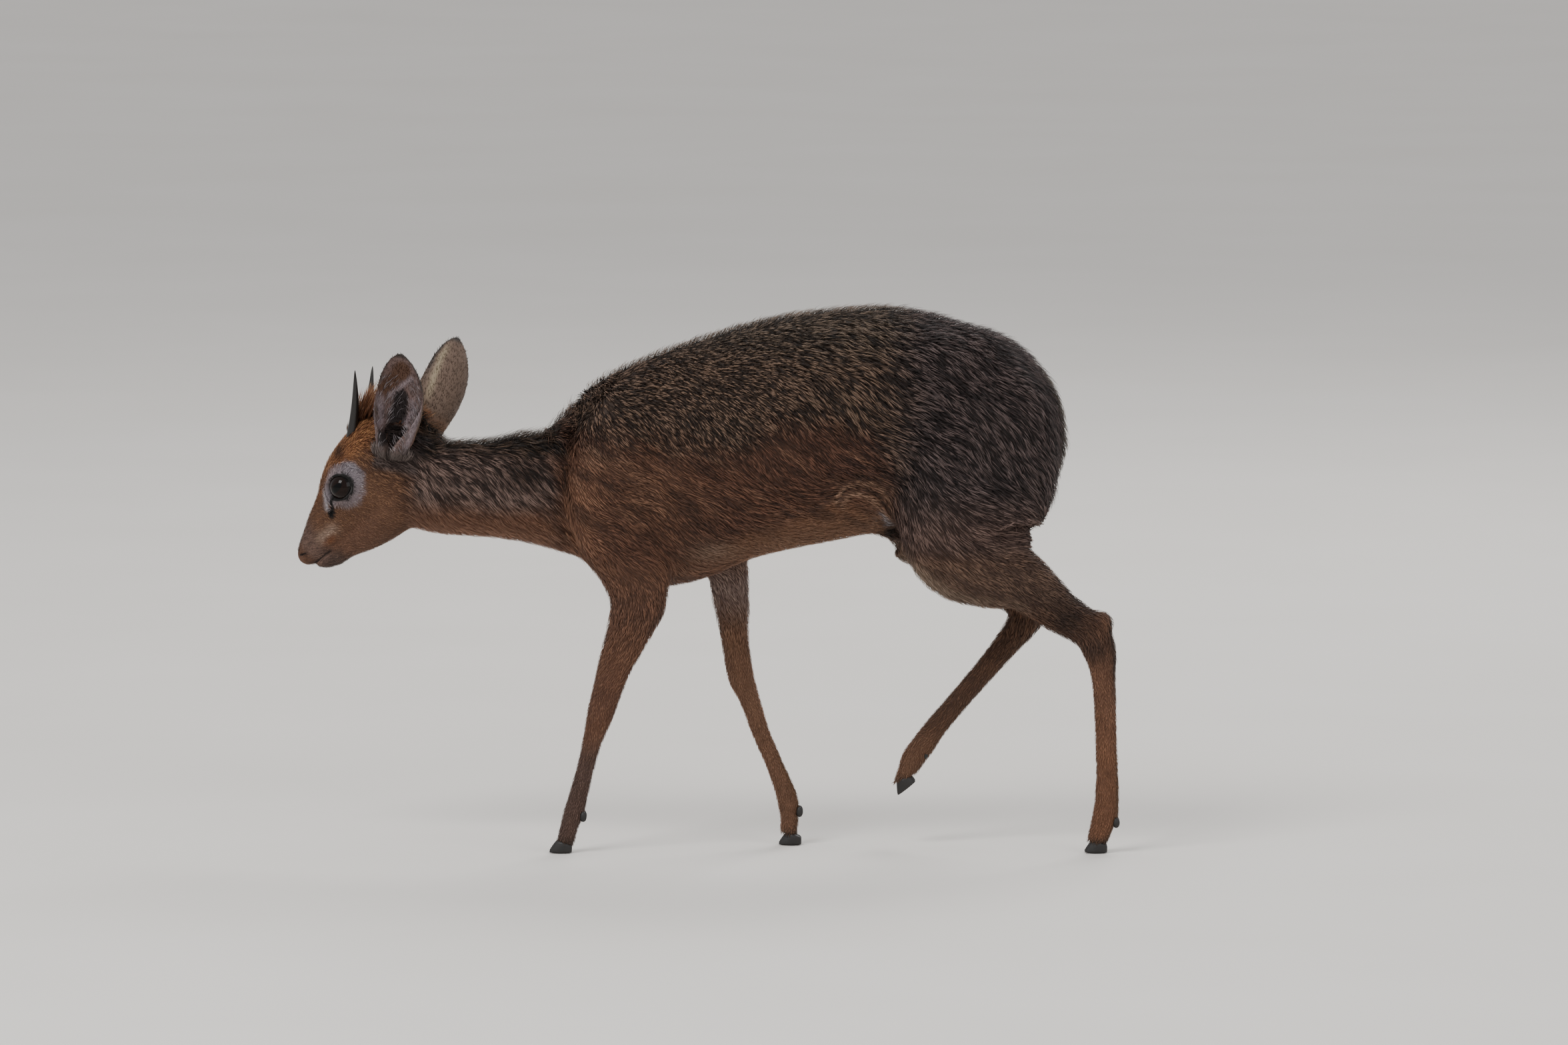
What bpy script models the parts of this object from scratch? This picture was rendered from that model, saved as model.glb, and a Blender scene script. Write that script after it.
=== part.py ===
"""A male dik-dik, life size, walking with its head held low.

The animal faces -X, its left side is -Y and up is +Z. The shapes below are written in
millimetres on a working origin under the middle of the trunk, and the last step centres
the finished animal over the origin, with the soles on the floor.
"""
import math
import random

import bmesh
import bpy
import numpy as np
from mathutils import Matrix, Vector

MM = 0.001
GAP = 0.3  # the space that touching pieces keep
NEAR, FAR = -1, 1  # the left side and the right side

# Driving dimensions of the body, in millimetres
WITHERS_HEIGHT = 390
BACK_HEIGHT = 447
TRUNK_HALF_WIDTH = 62
NECK_HALF_WIDTH = 27

# How the head is held
HEAD_YAW = math.radians(20)  # turned away to the right
HEAD_PITCH = math.radians(41)  # nose down
HEAD_CENTRE = Vector((-292.3, 38.7, 296.8))  # between the eyes

# The head's own parts, as (forward, up, outward) from the head's centre
EYE_PLACE = (0.0, 0.0, 17.0)
EYE_RADIUS = 12.6
LID_THICKNESS = 1.7
EYE_OPENING = (10.6, 10.2)  # half length and half height between the lids
EYE_FLARE = ((4, 0.8), (10.6, 1), (20.6, 1.35))  # distance from the eye's middle and spread
BROW_RADII = (18.5, 15.5, 17.5)
BROW_SINK = 2
HORN_ROOT = (-28.9, 26.4, 13.0)
HORN_TIP = (-71.4, 66.2, 19.5)
HORN_RADII = (4.8, 4.3, 3.8, 3.4, 2.9, 2.2, 1.4, 0.5)
HORN_BOW = 1.8  # how far the middle of a horn bends back
HORN_SIDES = 14

NOSTRIL_PLACE = (70.5, -17.0, 8.8)
NOSTRIL_RADII = (3.6, 1.5, 1.7)
NOSTRIL_TURN = 24  # degrees that the slits spread outward
MOUTH_LINE = (  # forward, reach to each side, up and half height of the slit
    (74, 12, -29.2, 0.9), (64, 13, -29.2, 0.9), (54, 13, -29.6, 0.9), (46, 13, -30.4, 0.3),
)
GLAND_PLACE = (26.0, -8.0, 18.0)
GLAND_RADII = (4.6, 1.8, 2.2)

# The crest: upright locks on the crown, from the forehead to the nape
CREST_SEED = 7
CREST_ROWS = (  # forward, up and half width of the row, lean back and length of its locks
    (-31, 30, 5, 0.0, 19), (-37, 30, 6.5, 0.05, 26), (-43, 29, 7, 0.12, 29),
    (-49, 27, 8, 0.22, 30), (-55, 23, 8.5, 0.4, 28), (-61, 18, 9, 0.6, 26),
    (-67, 12, 7, 0.9, 22), (-73, 4, 6, 1.3, 18),
)
LOCKS_IN_ROW = 4
LOCK_WIDTH = 3.4
LOCK_THICKNESS = 1.5
LOCK_RINGS = 5
LOCK_BEND = 0.22  # how far a tip bends back, as a share of the lock's length
LOCK_SPREAD = 0.012  # how much the outer locks lean out
LOCK_STRAY = 0.07

# Each ear from root to tip, and the way its cup faces
EARS = {
    NEAR: ((-258, 0, 324), (-250.5, -21, 409.5), (-0.45, -1.0, -0.2)),
    FAR: ((-237, 51, 331), (-206.5, 66, 415), (-0.55, 1.0, 0.1)),
}
EAR_PROFILE = (  # share of the length, width and depth of the cup
    (0, 23, 13), (0.08, 28, 14.5), (0.17, 32.5, 15.5), (0.26, 36.5, 16), (0.36, 40.5, 16),
    (0.47, 43, 15), (0.58, 43, 13.5), (0.68, 40.5, 12), (0.77, 35.5, 10), (0.85, 29, 7.5),
    (0.92, 21, 5), (0.97, 12.5, 3), (1, 3.5, 1.2),
)
EAR_THICKNESS = 1.5
EAR_STEM = 0.12  # share of the length where the cup begins to open
EAR_FLOOR = 0.24  # share of the length where the cup is fully open
EAR_BOW = 4  # how far the middle of an ear bends back
EAR_CURL = (170, 88)  # half angle of the curled leaf at the root and at the tip
EAR_UNCURL = (0.12, 0.57)  # shares of the length between which it uncurls
EAR_SIDES = 12

# The hooves: each foot has two, and the sole's length slopes up to the coronet
HOOF_LENGTH = 20
HOOF_WIDTH = 8.6
HOOF_SPACING = 0.6
HOOF_FRONT = 11.5
HOOF_HEEL = 7.0
TOE_LEAN = 8.5  # how far the toe's wall leans back
HOOF_LEVELS = (0, 0.12, 0.55, 1)  # shares of the height
HOOF_TUCK = 0.5  # rounding of the sole's edge
HOOF_DRAFT = 0.4  # how much narrower a hoof is at the coronet
HOOF_POINT = 0.3  # how much narrower it is at the toe
HOOF_SIDES = 14
FOOT_BLOCK = ((-22, -16, -24), (22, 16, 0))  # the space kept free below a leg
FEET = {  # the middle of the sole and how far the toe points down, in degrees
    "fore_left": ((-121, -25, 0), 0),
    "fore_right": ((67, 25, 0), 0),
    "hind_left": ((317.5, -25, 0), 0),
    "hind_right": ((163.5, 25, 46.5), 39),
}
DEWCLAWS = {  # along the body and above the floor, on the back of each foot
    "fore_left": (-102.0, 30),
    "fore_right": (75.2, 27.5),
    "hind_left": (334.5, 25),
    "hind_right": (178.2, 75.5),
}
DEWCLAW_SPREAD = 4.8
DEWCLAW_RADII = (3.4, 2.8, 4.6)

TAIL_SIDES = 14
TAIL_FLATNESS = 0.62
TAIL = (  # x, y, z, radius
    (276, 0, 372, 8), (283, 0, 358, 9.5), (288, 0, 342, 9.5), (288, 0, 325, 8),
    (285, 0, 311, 5), (283, 0, 303, 1.5),
)

VOXEL = 1.1
BODY_TRIANGLES = 6200
DETAIL_SHARE = 0.01  # how much more the head and legs keep when the skin is thinned

COAT = (0.30, 0.20, 0.12, 1)
FACE_COAT = (0.45, 0.22, 0.09, 1)
GREY_COAT = (0.10, 0.085, 0.07, 1)
LEG_COAT = (0.42, 0.25, 0.13, 1)
EAR_COAT = (0.33, 0.26, 0.19, 1)
HORN_BLACK = (0.02, 0.018, 0.016, 1)
HOOF_BLACK = (0.03, 0.026, 0.023, 1)
EYE_BLACK = (0.012, 0.008, 0.006, 1)


def clear_scene():
    for old in list(bpy.data.objects):
        bpy.data.objects.remove(old)


def new_collection(name):
    made = bpy.data.collections.new(name)
    bpy.context.scene.collection.children.link(made)
    return made


def material(name, colour, roughness, metallic=0.0):
    made = bpy.data.materials.new(name)
    made.use_nodes = True
    shader = made.node_tree.nodes["Principled BSDF"]
    shader.inputs["Base Color"].default_value = colour
    shader.inputs["Roughness"].default_value = roughness
    shader.inputs["Metallic"].default_value = metallic
    return made


def add_object(name, mesh, collection, finish=None):
    made = bpy.data.objects.new(name, mesh)
    collection.objects.link(made)
    if finish:
        mesh.materials.clear()
        mesh.materials.append(finish)
    return made


def face_outward(shape):
    """Turns a closed shape whose faces all agree so that they face out."""
    if shape.calc_volume(signed=True) < 0:
        bmesh.ops.reverse_faces(shape, faces=shape.faces)


def loft(name, rings, collection, finish=None):
    """A closed body through rings of points in millimetres, all with the same count."""
    shape = bmesh.new()
    rows = [[shape.verts.new(Vector(p) * MM) for p in ring] for ring in rings]
    count = len(rings[0])
    for low, high in zip(rows, rows[1:]):
        for k in range(count):
            after = (k + 1) % count
            shape.faces.new((low[k], low[after], high[after], high[k]))
    shape.faces.new(reversed(rows[0]))
    shape.faces.new(rows[-1])
    face_outward(shape)
    mesh = bpy.data.meshes.new(name)
    shape.to_mesh(mesh)
    shape.free()
    return add_object(name, mesh, collection, finish)


def smooth_rows(stations, steps):
    """More stations between the given ones, on a curve that passes through each."""
    rows = np.array(stations, float)
    ends = np.vstack([2 * rows[0] - rows[1], rows, 2 * rows[-1] - rows[-2]])
    made = []
    for before, start, end, after in zip(ends, ends[1:], ends[2:], ends[3:]):
        for t in np.arange(steps) / steps:
            made.append(0.5 * (2 * start + (end - before) * t
                               + (2 * before - 5 * start + 4 * end - after) * t * t
                               + (3 * start - before - 3 * end + after) * t ** 3))
    made.append(rows[-1])
    return np.array(made)


def rounded(angle, power):
    """Cosine and sine bent from an ellipse, at power 2, towards a box as power grows."""
    c, s = math.cos(angle), math.sin(angle)
    return (math.copysign(abs(c) ** (2 / power), c),
            math.copysign(abs(s) ** (2 / power), s))


def trunk_ring(x, y, top, bottom, half_width, widest, power, sides=40):
    """A section across the body. It is widest at the height that `widest` gives."""
    ring = []
    for k in range(sides):
        c, s = rounded(2 * math.pi * k / sides, power)
        reach = top - widest if s > 0 else widest - bottom
        ring.append((x, y + half_width * c, widest + reach * s))
    return ring


def limb(name, stations, collection, sides=24, steps=4):
    """A tube along x, y, z with its own fore-and-aft and sideways radius at each point."""
    rows = smooth_rows(stations, steps)
    rings = []
    for k, (x, y, z, fore, side) in enumerate(rows):
        before, after = rows[max(k - 1, 0)], rows[min(k + 1, len(rows) - 1)]
        along = Vector(after[:3] - before[:3]).normalized()
        out = Vector((0, 1, 0))
        out = (out - along * out.dot(along)).normalized()
        front = along.cross(out)
        rings.append([Vector((x, y, z)) + front * fore * math.cos(a) + out * side * math.sin(a)
                      for a in (2 * math.pi * n / sides for n in range(sides))])
    return loft(name, rings, collection)


def ellipsoid(name, centre, radii, collection, turn=None, segments=32):
    shape = bmesh.new()
    bmesh.ops.create_uvsphere(shape, u_segments=segments, v_segments=segments // 2, radius=1)
    place = Matrix.Translation(Vector(centre) * MM) @ (turn or Matrix.Identity(4))
    place = place @ Matrix.Diagonal((*[r * MM for r in radii], 1))
    bmesh.ops.transform(shape, matrix=place, verts=shape.verts)
    face_outward(shape)
    mesh = bpy.data.meshes.new(name)
    shape.to_mesh(mesh)
    shape.free()
    return add_object(name, mesh, collection)


# The head's frame

HEAD_AHEAD = Vector((-math.cos(HEAD_YAW), math.sin(HEAD_YAW), 0))
HEAD_FORWARD = HEAD_AHEAD * math.cos(HEAD_PITCH) - Vector((0, 0, math.sin(HEAD_PITCH)))
HEAD_UP = HEAD_AHEAD * math.sin(HEAD_PITCH) + Vector((0, 0, math.cos(HEAD_PITCH)))
HEAD_RIGHT = Vector((math.sin(HEAD_YAW), math.cos(HEAD_YAW), 0))


def head_point(forward, up, outward, side=FAR):
    return (HEAD_CENTRE + HEAD_FORWARD * forward + HEAD_UP * up
            + HEAD_RIGHT * outward * side)


def head_turn():
    """The rotation that carries X, Y and Z to the head's forward, right and up."""
    return Matrix((HEAD_FORWARD, HEAD_RIGHT, HEAD_UP)).transposed().to_4x4()


def head_ring(forward, top, bottom, half_width, widest, power, sides=36):
    ring = []
    for k in range(sides):
        c, s = rounded(2 * math.pi * k / sides, power)
        reach = top - widest if s > 0 else widest - bottom
        ring.append(head_point(forward, widest + reach * s, half_width * c))
    return ring


# The flesh, as overlapping masses

TRUNK = (  # x, y, top, bottom, half width, height of the widest part, squareness
    (-120, 0, 345, 258, 22, 300, 2.0),
    (-112, 0, 362, 246, 31, 300, 2.0),
    (-103, 0, 378, 237, 37, 300, 2.0),
    (-88, 0, WITHERS_HEIGHT - 1, 226, 43, 298, 2.0),
    (-71, 0, WITHERS_HEIGHT + 8, 220, 48, 298, 2.0),
    (-33, 0, 413, 217, 54, 300, 2.05),
    (0, 0, 424, 224, 57, 308, 2.1),
    (34, 0, 434, 238, TRUNK_HALF_WIDTH - 2, 322, 2.15),
    (72, 0, 442, 247, TRUNK_HALF_WIDTH, 335, 2.15),
    (125, 0, BACK_HEIGHT, 257, TRUNK_HALF_WIDTH, 345, 2.1),
    (160, 0, BACK_HEIGHT - 1, 266, TRUNK_HALF_WIDTH - 2, 350, 2.1),
    (192, 0, 439, 274, TRUNK_HALF_WIDTH - 6, 350, 2.1),
    (220, 0, 430, 284, 50, 350, 2.0),
    (244, 0, 423, 288, 45, 348, 2.0),
    (262, 0, 410, 294, 39, 345, 2.0),
    (276, 0, 394, 302, 32, 342, 2.0),
    (286, 0, 378, 312, 23, 340, 2.0),
    (291, 0, 362, 322, 11, 340, 2.0),
)

NECK = (
    (-80, 0, 372, 240, 38, 300, 2.0),
    (-104, 0, 366, 241, 35, 300, 2.0),
    (-118, 0, 359, 243, 33, 298, 2.0),
    (-135, 1, 350, 248, 30.5, 296, 2.0),
    (-154, 2, 342, 252.5, 28.5, 295, 2.0),
    (-175, 5, 337, 255, NECK_HALF_WIDTH, 294, 2.0),
    (-193, 8, 335, 256, NECK_HALF_WIDTH, 294, 2.0),
    (-217, 13, 335, 257, NECK_HALF_WIDTH, 294, 2.0),
    (-236, 19, 330, 260, 25, 294, 2.0),
    (-252, 24, 322, 268, 20, 294, 2.0),
    (-262, 28, 312, 278, 11, 294, 2.0),
)

SKULL = (  # forward, top, bottom, half width, height of the widest part, squareness
    (77.0, -16.0, -22.0, 3.5, -19, 2.0),
    (75.5, -13.5, -25.0, 6.4, -20, 2.1),
    (72.0, -10.5, -27.5, 8.6, -20, 2.2),
    (67.0, -7.4, -28.5, 9.7, -19, 2.2),
    (57.0, -1.8, -29.5, 10.8, -18, 2.2),
    (47.0, 4.0, -31.0, 12.0, -17, 2.1),
    (39.5, 7.8, -33.0, 13.4, -16, 2.1),
    (32.0, 11.2, -36.0, 15.0, -15, 2.1),
    (25.0, 15.0, -38.0, 17.4, -13, 2.1),
    (18.0, 19.4, -40.0, 20.2, -10, 2.2),
    (10.7, 23.4, -42.0, 22.8, -6, 2.3),
    (1.0, 27.6, -44.0, 25.0, -2, 2.4),
    (-7.0, 30.2, -46.0, 26.2, 0, 2.4),
    (-16.0, 32.2, -48.0, 27.0, 0, 2.3),
    (-28.0, 34.5, -50.0, 27.6, -2, 2.2),
    (-43.5, 33.5, -50.0, 28.0, -4, 2.1),
    (-60.0, 24.0, -48.0, 27.0, -8, 2.0),
    (-73.0, 9.0, -44.0, 23.0, -14, 2.0),
    (-80.0, -8.0, -36.0, 15.0, -22, 2.0),
)

JAW = (
    (68.0, -28.6, -31.0, 2.6, -30, 2.0),
    (66.5, -28.0, -34.6, 5.6, -31, 2.0),
    (62.5, -28.0, -38.2, 7.2, -32, 2.0),
    (57.5, -28.0, -41.0, 8.0, -33, 2.0),
    (51.0, -28.0, -43.6, 9.0, -34, 2.0),
    (44.0, -27.0, -44.4, 10.0, -34, 2.0),
    (36.8, -26.0, -46.0, 11.6, -35, 2.0),
    (22.3, -24.0, -51.5, 15.6, -36, 2.0),
    (8.5, -22.0, -55.5, 19.4, -38, 2.0),
    (-3.5, -22.0, -58.5, 22.0, -38, 2.0),
    (-20.0, -22.0, -60.5, 24.0, -38, 2.0),
    (-36.0, -22.0, -60.0, 24.0, -38, 2.0),
    (-50.0, -24.0, -57.0, 22.0, -38, 2.0),
    (-62.0, -26.0, -52.0, 18.0, -38, 2.0),
    (-72.0, -30.0, -46.0, 11.0, -38, 2.0),
)

SHOULDERS = {
    NEAR: ((-38, 12, 396, 6, 4), (-46, 20, 380, 26, 12), (-64, 32, 340, 42, 19),
           (-76, 36, 300, 40, 20), (-74, 36, 266, 36, 20), (-62, 35, 236, 30, 18),
           (-59, 33, 208, 20, 13), (-62, 31, 184, 7, 6)),
    FAR: ((-38, 12, 396, 6, 4), (-46, 20, 380, 26, 12), (-60, 32, 340, 42, 19),
          (-64, 36, 300, 41, 20), (-42, 36, 272, 40, 20), (-8, 34, 252, 33, 18),
          (14, 31, 232, 18, 13), (20, 29, 208, 6, 6)),
}

FORELEGS = {
    NEAR: ((-58, 34, 262, 10, 8), (-57, 34, 238, 27, 17), (-57, 32, 208, 24, 15),
           (-60.5, 31, 194, 20.4, 13.5), (-67, 30, 176, 17.2, 12), (-75.5, 29, 155, 14.5, 10.8),
           (-83, 28, 131, 12.4, 10), (-86.5, 27, 119, 11.7, 9.8), (-90, 27, 107, 10.4, 9.2),
           (-94.5, 26, 92, 8.2, 7.4),
           (-99.5, 26, 72, 7.5, 6.6), (-106.5, 25, 44.5, 7.8, 6.8), (-110, 25, 32, 8.6, 8.0),
           (-114, 25, 21, 7.2, 7.8), (-117, 25, 12, 7.4, 8.4), (-120, 25, 3, 7, 8)),
    FAR: ((4, 33, 286, 8, 7), (10, 32, 262, 24, 15.5), (15, 31, 236, 19.5, 14.5),
          (18, 29, 212, 16.4, 12.8), (20, 28.5, 194, 14.0, 11.6), (21, 28, 180, 12.2, 11),
          (23, 27, 163, 11.3, 10.2), (27, 26.5, 139, 11.4, 9.8), (34, 26, 121, 8.9, 8.0),
          (43.5, 25, 92.5, 7.6, 6.7),
          (53, 25, 70.5, 7.5, 6.6), (61, 25, 51, 7.9, 7.0), (66, 25, 35.5, 8.8, 8.0),
          (67, 25, 22.5, 7.4, 7.8), (66, 25, 12, 7.4, 8.4), (65, 25, 3, 7, 8)),
}

THIGHS = {
    NEAR: ((212, 10, 428, 6, 4), (218, 18, 410, 32, 14), (222, 28, 364, 60, 26),
           (219, 35, 318, 69, 29), (213, 38, 284, 64, 26), (212, 38, 260, 55, 22),
           (226, 37, 243, 42, 17), (246, 36, 228, 12, 9)),
    FAR: ((210, 10, 428, 6, 4), (216, 18, 410, 32, 14), (218, 28, 364, 60, 26),
          (208, 35, 322, 69, 29), (196, 38, 296, 64, 26), (186, 38, 275, 56, 22),
          (190, 37, 258, 42, 17), (204, 36, 244, 12, 8)),
}

HINDLEGS = {
    NEAR: ((182, 38, 256, 12, 9), (204, 38, 246, 36, 19), (232, 37, 234, 32, 18),
           (255, 36, 227, 26.5, 16.5), (272.5, 34, 213.5, 21.5, 14), (289, 32, 199, 18, 12),
           (304, 30, 189.5, 16.2, 10.8), (315, 29, 180, 15.4, 10.6), (321, 28, 165, 13.8, 10.2),
           (323.5, 27, 149, 11.0, 8.8),
           (325, 26.5, 127, 9.8, 7.8), (326, 26, 99, 9.2, 7.4), (327, 25.5, 67, 9.2, 7.5),
           (327, 25, 43, 9.9, 8.2), (325.5, 25, 30, 10.6, 9.0), (321.5, 25, 19.5, 8.8, 8.6),
           (318, 25, 11, 8.0, 8.6), (315.5, 25, 2, 7, 8)),
    FAR: ((136, 38, 282, 10, 8), (156, 38, 271, 34, 18), (180, 37, 256, 31, 18),
          (207, 36, 238, 26.5, 16.5), (234, 34, 220, 20.5, 14), (252, 32, 208, 17.2, 12),
          (265, 30, 197, 15.8, 10.8), (259, 28.5, 183, 13.4, 10.4), (247.5, 27.5, 168, 11.2, 9.0),
          (229, 26.5, 146, 9.9, 7.9),
          (207, 26, 120.5, 9.3, 7.4), (188, 25.5, 98, 9.4, 7.5), (176.5, 25, 82, 10.2, 8.2),
          (168.5, 25, 71, 9.8, 8.8), (164, 25, 60, 8.2, 8.6), (161.5, 25, 52, 8, 8.4),
          (160, 25, 43, 7, 8)),
}

HOCKS = {NEAR: ((322, 31, 189), (10, 8, 12)), FAR: ((268, 31, 206), (10, 8, 12))}
HAMS = {NEAR: ((247, 36, 260), (19.5, 15, 20)), FAR: ((224, 36, 267), (19.5, 15, 20))}
SHEATH = ((146, 0, 257), (13, 6, 7))

# Where the body is parted: a point, the way the cut faces and its half length and width
PARTINGS = (
    ((-230, 18, 296), (-0.93, 0.3, -0.1), 66, 50),
    ((-128, 0, 298), (-1, 0, 0), 66, 50),
    ((-58, -33, 211), (0, 0, 1), 40, 26),
    ((18, 31, 215), (0, 0, 1), 34, 24),
    ((-91, -27, 104), (-0.27, 0, -1), 17, 15),
    ((38, 26, 107), (0.36, 0, -1), 17, 15),
    ((210, -39, 254.5), (0, 0, 1), 80, 28),
    ((190, 39, 256.5), (0, 0, 1), 80, 28),
    ((324, -27, 142), (0.06, 0, -1), 19, 15),
    ((233, 27, 151), (-0.64, 0, -0.77), 19, 15),
)

PIECES = {  # roughly the middle of each piece of the parted body, and its finish
    "head": ((-290, 36, 300), "face_coat"),
    "neck": ((-180, 6, 296), "neck_coat"),
    "torso": ((85, 0, 335), "body_coat"),
    "leg_fore_left_upper": ((-72, -30, 158), "leg_coat"),
    "leg_fore_left_lower": ((-105, -26, 55), "leg_coat"),
    "leg_fore_right_upper": ((22, 28, 165), "leg_coat"),
    "leg_fore_right_lower": ((55, 25, 60), "leg_coat"),
    "leg_hind_left_upper": ((240, -34, 200), "leg_coat"),
    "leg_hind_left_lower": ((325, -26, 75), "leg_coat"),
    "leg_hind_right_upper": ((200, 34, 205), "leg_coat"),
    "leg_hind_right_lower": ((196, 26, 100), "leg_coat"),
}


def sided(stations, side):
    """Stations written for one side, carried to the side that is asked for."""
    return [(x, abs(y) * side, z, *rest) for x, y, z, *rest in stations]


def build_flesh(shapes):
    loft("trunk", [trunk_ring(*row) for row in smooth_rows(TRUNK, 3)], shapes)
    loft("neck_mass", [trunk_ring(*row) for row in smooth_rows(NECK, 3)], shapes)
    loft("skull", [head_ring(*row) for row in smooth_rows(SKULL, 3)], shapes)
    loft("jaw", [head_ring(*row) for row in smooth_rows(JAW, 3)], shapes)
    ellipsoid("sheath", *SHEATH, shapes)
    for side in (NEAR, FAR):
        limb(f"shoulder_{side}", sided(SHOULDERS[side], side), shapes)
        limb(f"foreleg_{side}", sided(FORELEGS[side], side), shapes)
        limb(f"thigh_{side}", sided(THIGHS[side], side), shapes)
        limb(f"hindleg_{side}", sided(HINDLEGS[side], side), shapes)
        for name, places in (("hock", HOCKS), ("ham", HAMS)):
            (x, y, z), radii = places[side]
            ellipsoid(f"{name}_{side}", (x, y * side, z), radii, shapes)
        forward, up, outward = EYE_PLACE
        ellipsoid(f"orbit_{side}", head_point(forward, up, outward - BROW_SINK, side),
                  BROW_RADII, shapes, head_turn())
        ellipsoid(f"lids_{side}", head_point(forward, up, outward, side),
                  (EYE_RADIUS + LID_THICKNESS,) * 3, shapes, head_turn())


def evaluated_mesh(obj):
    graph = bpy.context.evaluated_depsgraph_get()
    return bpy.data.meshes.new_from_object(obj.evaluated_get(graph))


def settle(obj):
    """Turns the modifiers into plain mesh."""
    obj.data = evaluated_mesh(obj)
    obj.modifiers.clear()


def points_of(mesh):
    """The vertices in millimetres."""
    flat = np.empty(len(mesh.vertices) * 3)
    mesh.vertices.foreach_get("co", flat)
    return flat.reshape(-1, 3) / MM


def weigh(obj, name, weights, levels=8):
    """A vertex group whose weights are rounded to a few levels."""
    group = obj.vertex_groups.new(name=name)
    stepped = np.round(np.clip(weights, 0, 1) * levels).astype(int)
    for level in range(1, levels + 1):
        group.add(np.nonzero(stepped == level)[0].tolist(), level / levels, "REPLACE")


def ramp(values, start, end):
    """0 at start, 1 at end and smooth between."""
    t = np.clip((values - start) / (end - start), 0, 1)
    return t * t * (3 - 2 * t)


def fuse_flesh(shapes, collection):
    """One closed skin round all the masses, with soft folds where they meet."""
    whole = bmesh.new()
    for obj in shapes.objects:
        whole.from_mesh(obj.data)
    mesh = bpy.data.meshes.new("flesh")
    whole.to_mesh(mesh)
    whole.free()
    for obj in list(shapes.objects):
        bpy.data.objects.remove(obj)
    flesh = add_object("flesh", mesh, collection)
    remesh = flesh.modifiers.new("fuse", "REMESH")
    remesh.mode = "VOXEL"
    remesh.voxel_size = VOXEL * MM
    settle(flesh)
    x, y, z = points_of(flesh.data).T
    on_head = 1 - ramp(x, -262, -225)
    on_leg = 1 - ramp(z, 190, 250)
    on_face = 1 - ramp(x, -285, -255)
    weigh(flesh, "soft", np.maximum(0.12, (1 - on_face) * (1 - on_leg)))
    soften = flesh.modifiers.new("soften", "SMOOTH")
    soften.factor = 0.6
    soften.iterations = 70
    soften.vertex_group = "soft"
    settle(flesh)
    flesh.vertex_groups.clear()
    weigh(flesh, "spare", 1 - 0.5 * on_head - 0.12 * on_leg * (1 - on_head))
    thin = flesh.modifiers.new("thin", "DECIMATE")
    thin.ratio = BODY_TRIANGLES / (2 * len(flesh.data.polygons))
    thin.vertex_group = "spare"
    thin.vertex_group_factor = DETAIL_SHARE
    settle(flesh)
    flesh.vertex_groups.clear()
    return flesh


def boolean(target, cutter, operation="DIFFERENCE", solver="EXACT"):
    step = target.modifiers.new(operation.lower(), "BOOLEAN")
    step.operation = operation
    step.object = cutter
    step.solver = solver
    settle(target)


def box(name, matrix, low, high, collection):
    """A block between two corners in the frame that the matrix gives."""
    shape = bmesh.new()
    bmesh.ops.create_cube(shape, size=1)
    low, high = Vector(low), Vector(high)
    for v in shape.verts:
        part = v.co + Vector((0.5, 0.5, 0.5))
        local = Vector([a + (b - a) * t for a, b, t in zip(low, high, part)])
        v.co = (matrix @ local) * MM
    face_outward(shape)
    mesh = bpy.data.meshes.new(name)
    shape.to_mesh(mesh)
    shape.free()
    return add_object(name, mesh, collection)


def facing_frame(point, facing):
    """A frame at the point whose Z faces the given way and whose Y stays near sideways."""
    z = Vector(facing).normalized()
    y = Vector((0, 1, 0))
    if abs(z.y) > 0.8:
        y = Vector((1, 0, 0))
    y = (y - z * z.dot(y)).normalized()
    x = y.cross(z)
    return Matrix.Translation(Vector(point)) @ Matrix((x, y, z)).transposed().to_4x4()


def swollen(obj, distance, name, collection):
    """A copy of the piece whose surface stands out by the distance."""
    copy = add_object(name, obj.data.copy(), collection)
    copy.data.materials.clear()
    grow = copy.modifiers.new("swell", "DISPLACE")
    grow.strength = distance * MM
    grow.mid_level = 0
    settle(copy)
    return copy


def drop_flaps(shape):
    """Takes away flat leftover faces that hang on a single edge of a closed body."""
    flaps = [f for f in shape.faces if sum(len(e.link_faces) == 1 for e in f.edges) > 1]
    bmesh.ops.delete(shape, geom=flaps, context="FACES")


def loose_pieces(obj):
    """The separate closed bodies of a mesh, largest first, as meshes."""
    shape = bmesh.new()
    shape.from_mesh(obj.data)
    left = set(shape.faces)
    groups = []
    while left:
        seed = left.pop()
        group, queue = [seed], [seed]
        while queue:
            for edge in queue.pop().edges:
                for face in edge.link_faces:
                    if face in left:
                        left.remove(face)
                        group.append(face)
                        queue.append(face)
        groups.append(group)
    meshes = []
    for group in groups:
        part = bmesh.new()
        copies = {}
        for face in group:
            for v in face.verts:
                if v not in copies:
                    copies[v] = part.verts.new(v.co)
            corners = [copies[v] for v in face.verts]
            if not part.faces.get(corners):
                part.faces.new(corners)
        drop_flaps(part)
        size = abs(part.calc_volume(signed=True))
        mesh = bpy.data.meshes.new(obj.name)
        part.to_mesh(mesh)
        part.free()
        meshes.append((size, mesh))
    shape.free()
    return [mesh for size, mesh in sorted(meshes, key=lambda pair: -pair[0])]


def keep_largest(obj):
    finish = list(obj.data.materials)
    obj.data = loose_pieces(obj)[0]
    for entry in finish:
        obj.data.materials.append(entry)


# The eyes and the openings of the face

def eye_axis(side):
    """The way an eye looks: outward, a little forward and up."""
    return (HEAD_RIGHT * side + HEAD_FORWARD * 0.16 + HEAD_UP * 0.08).normalized()


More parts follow.
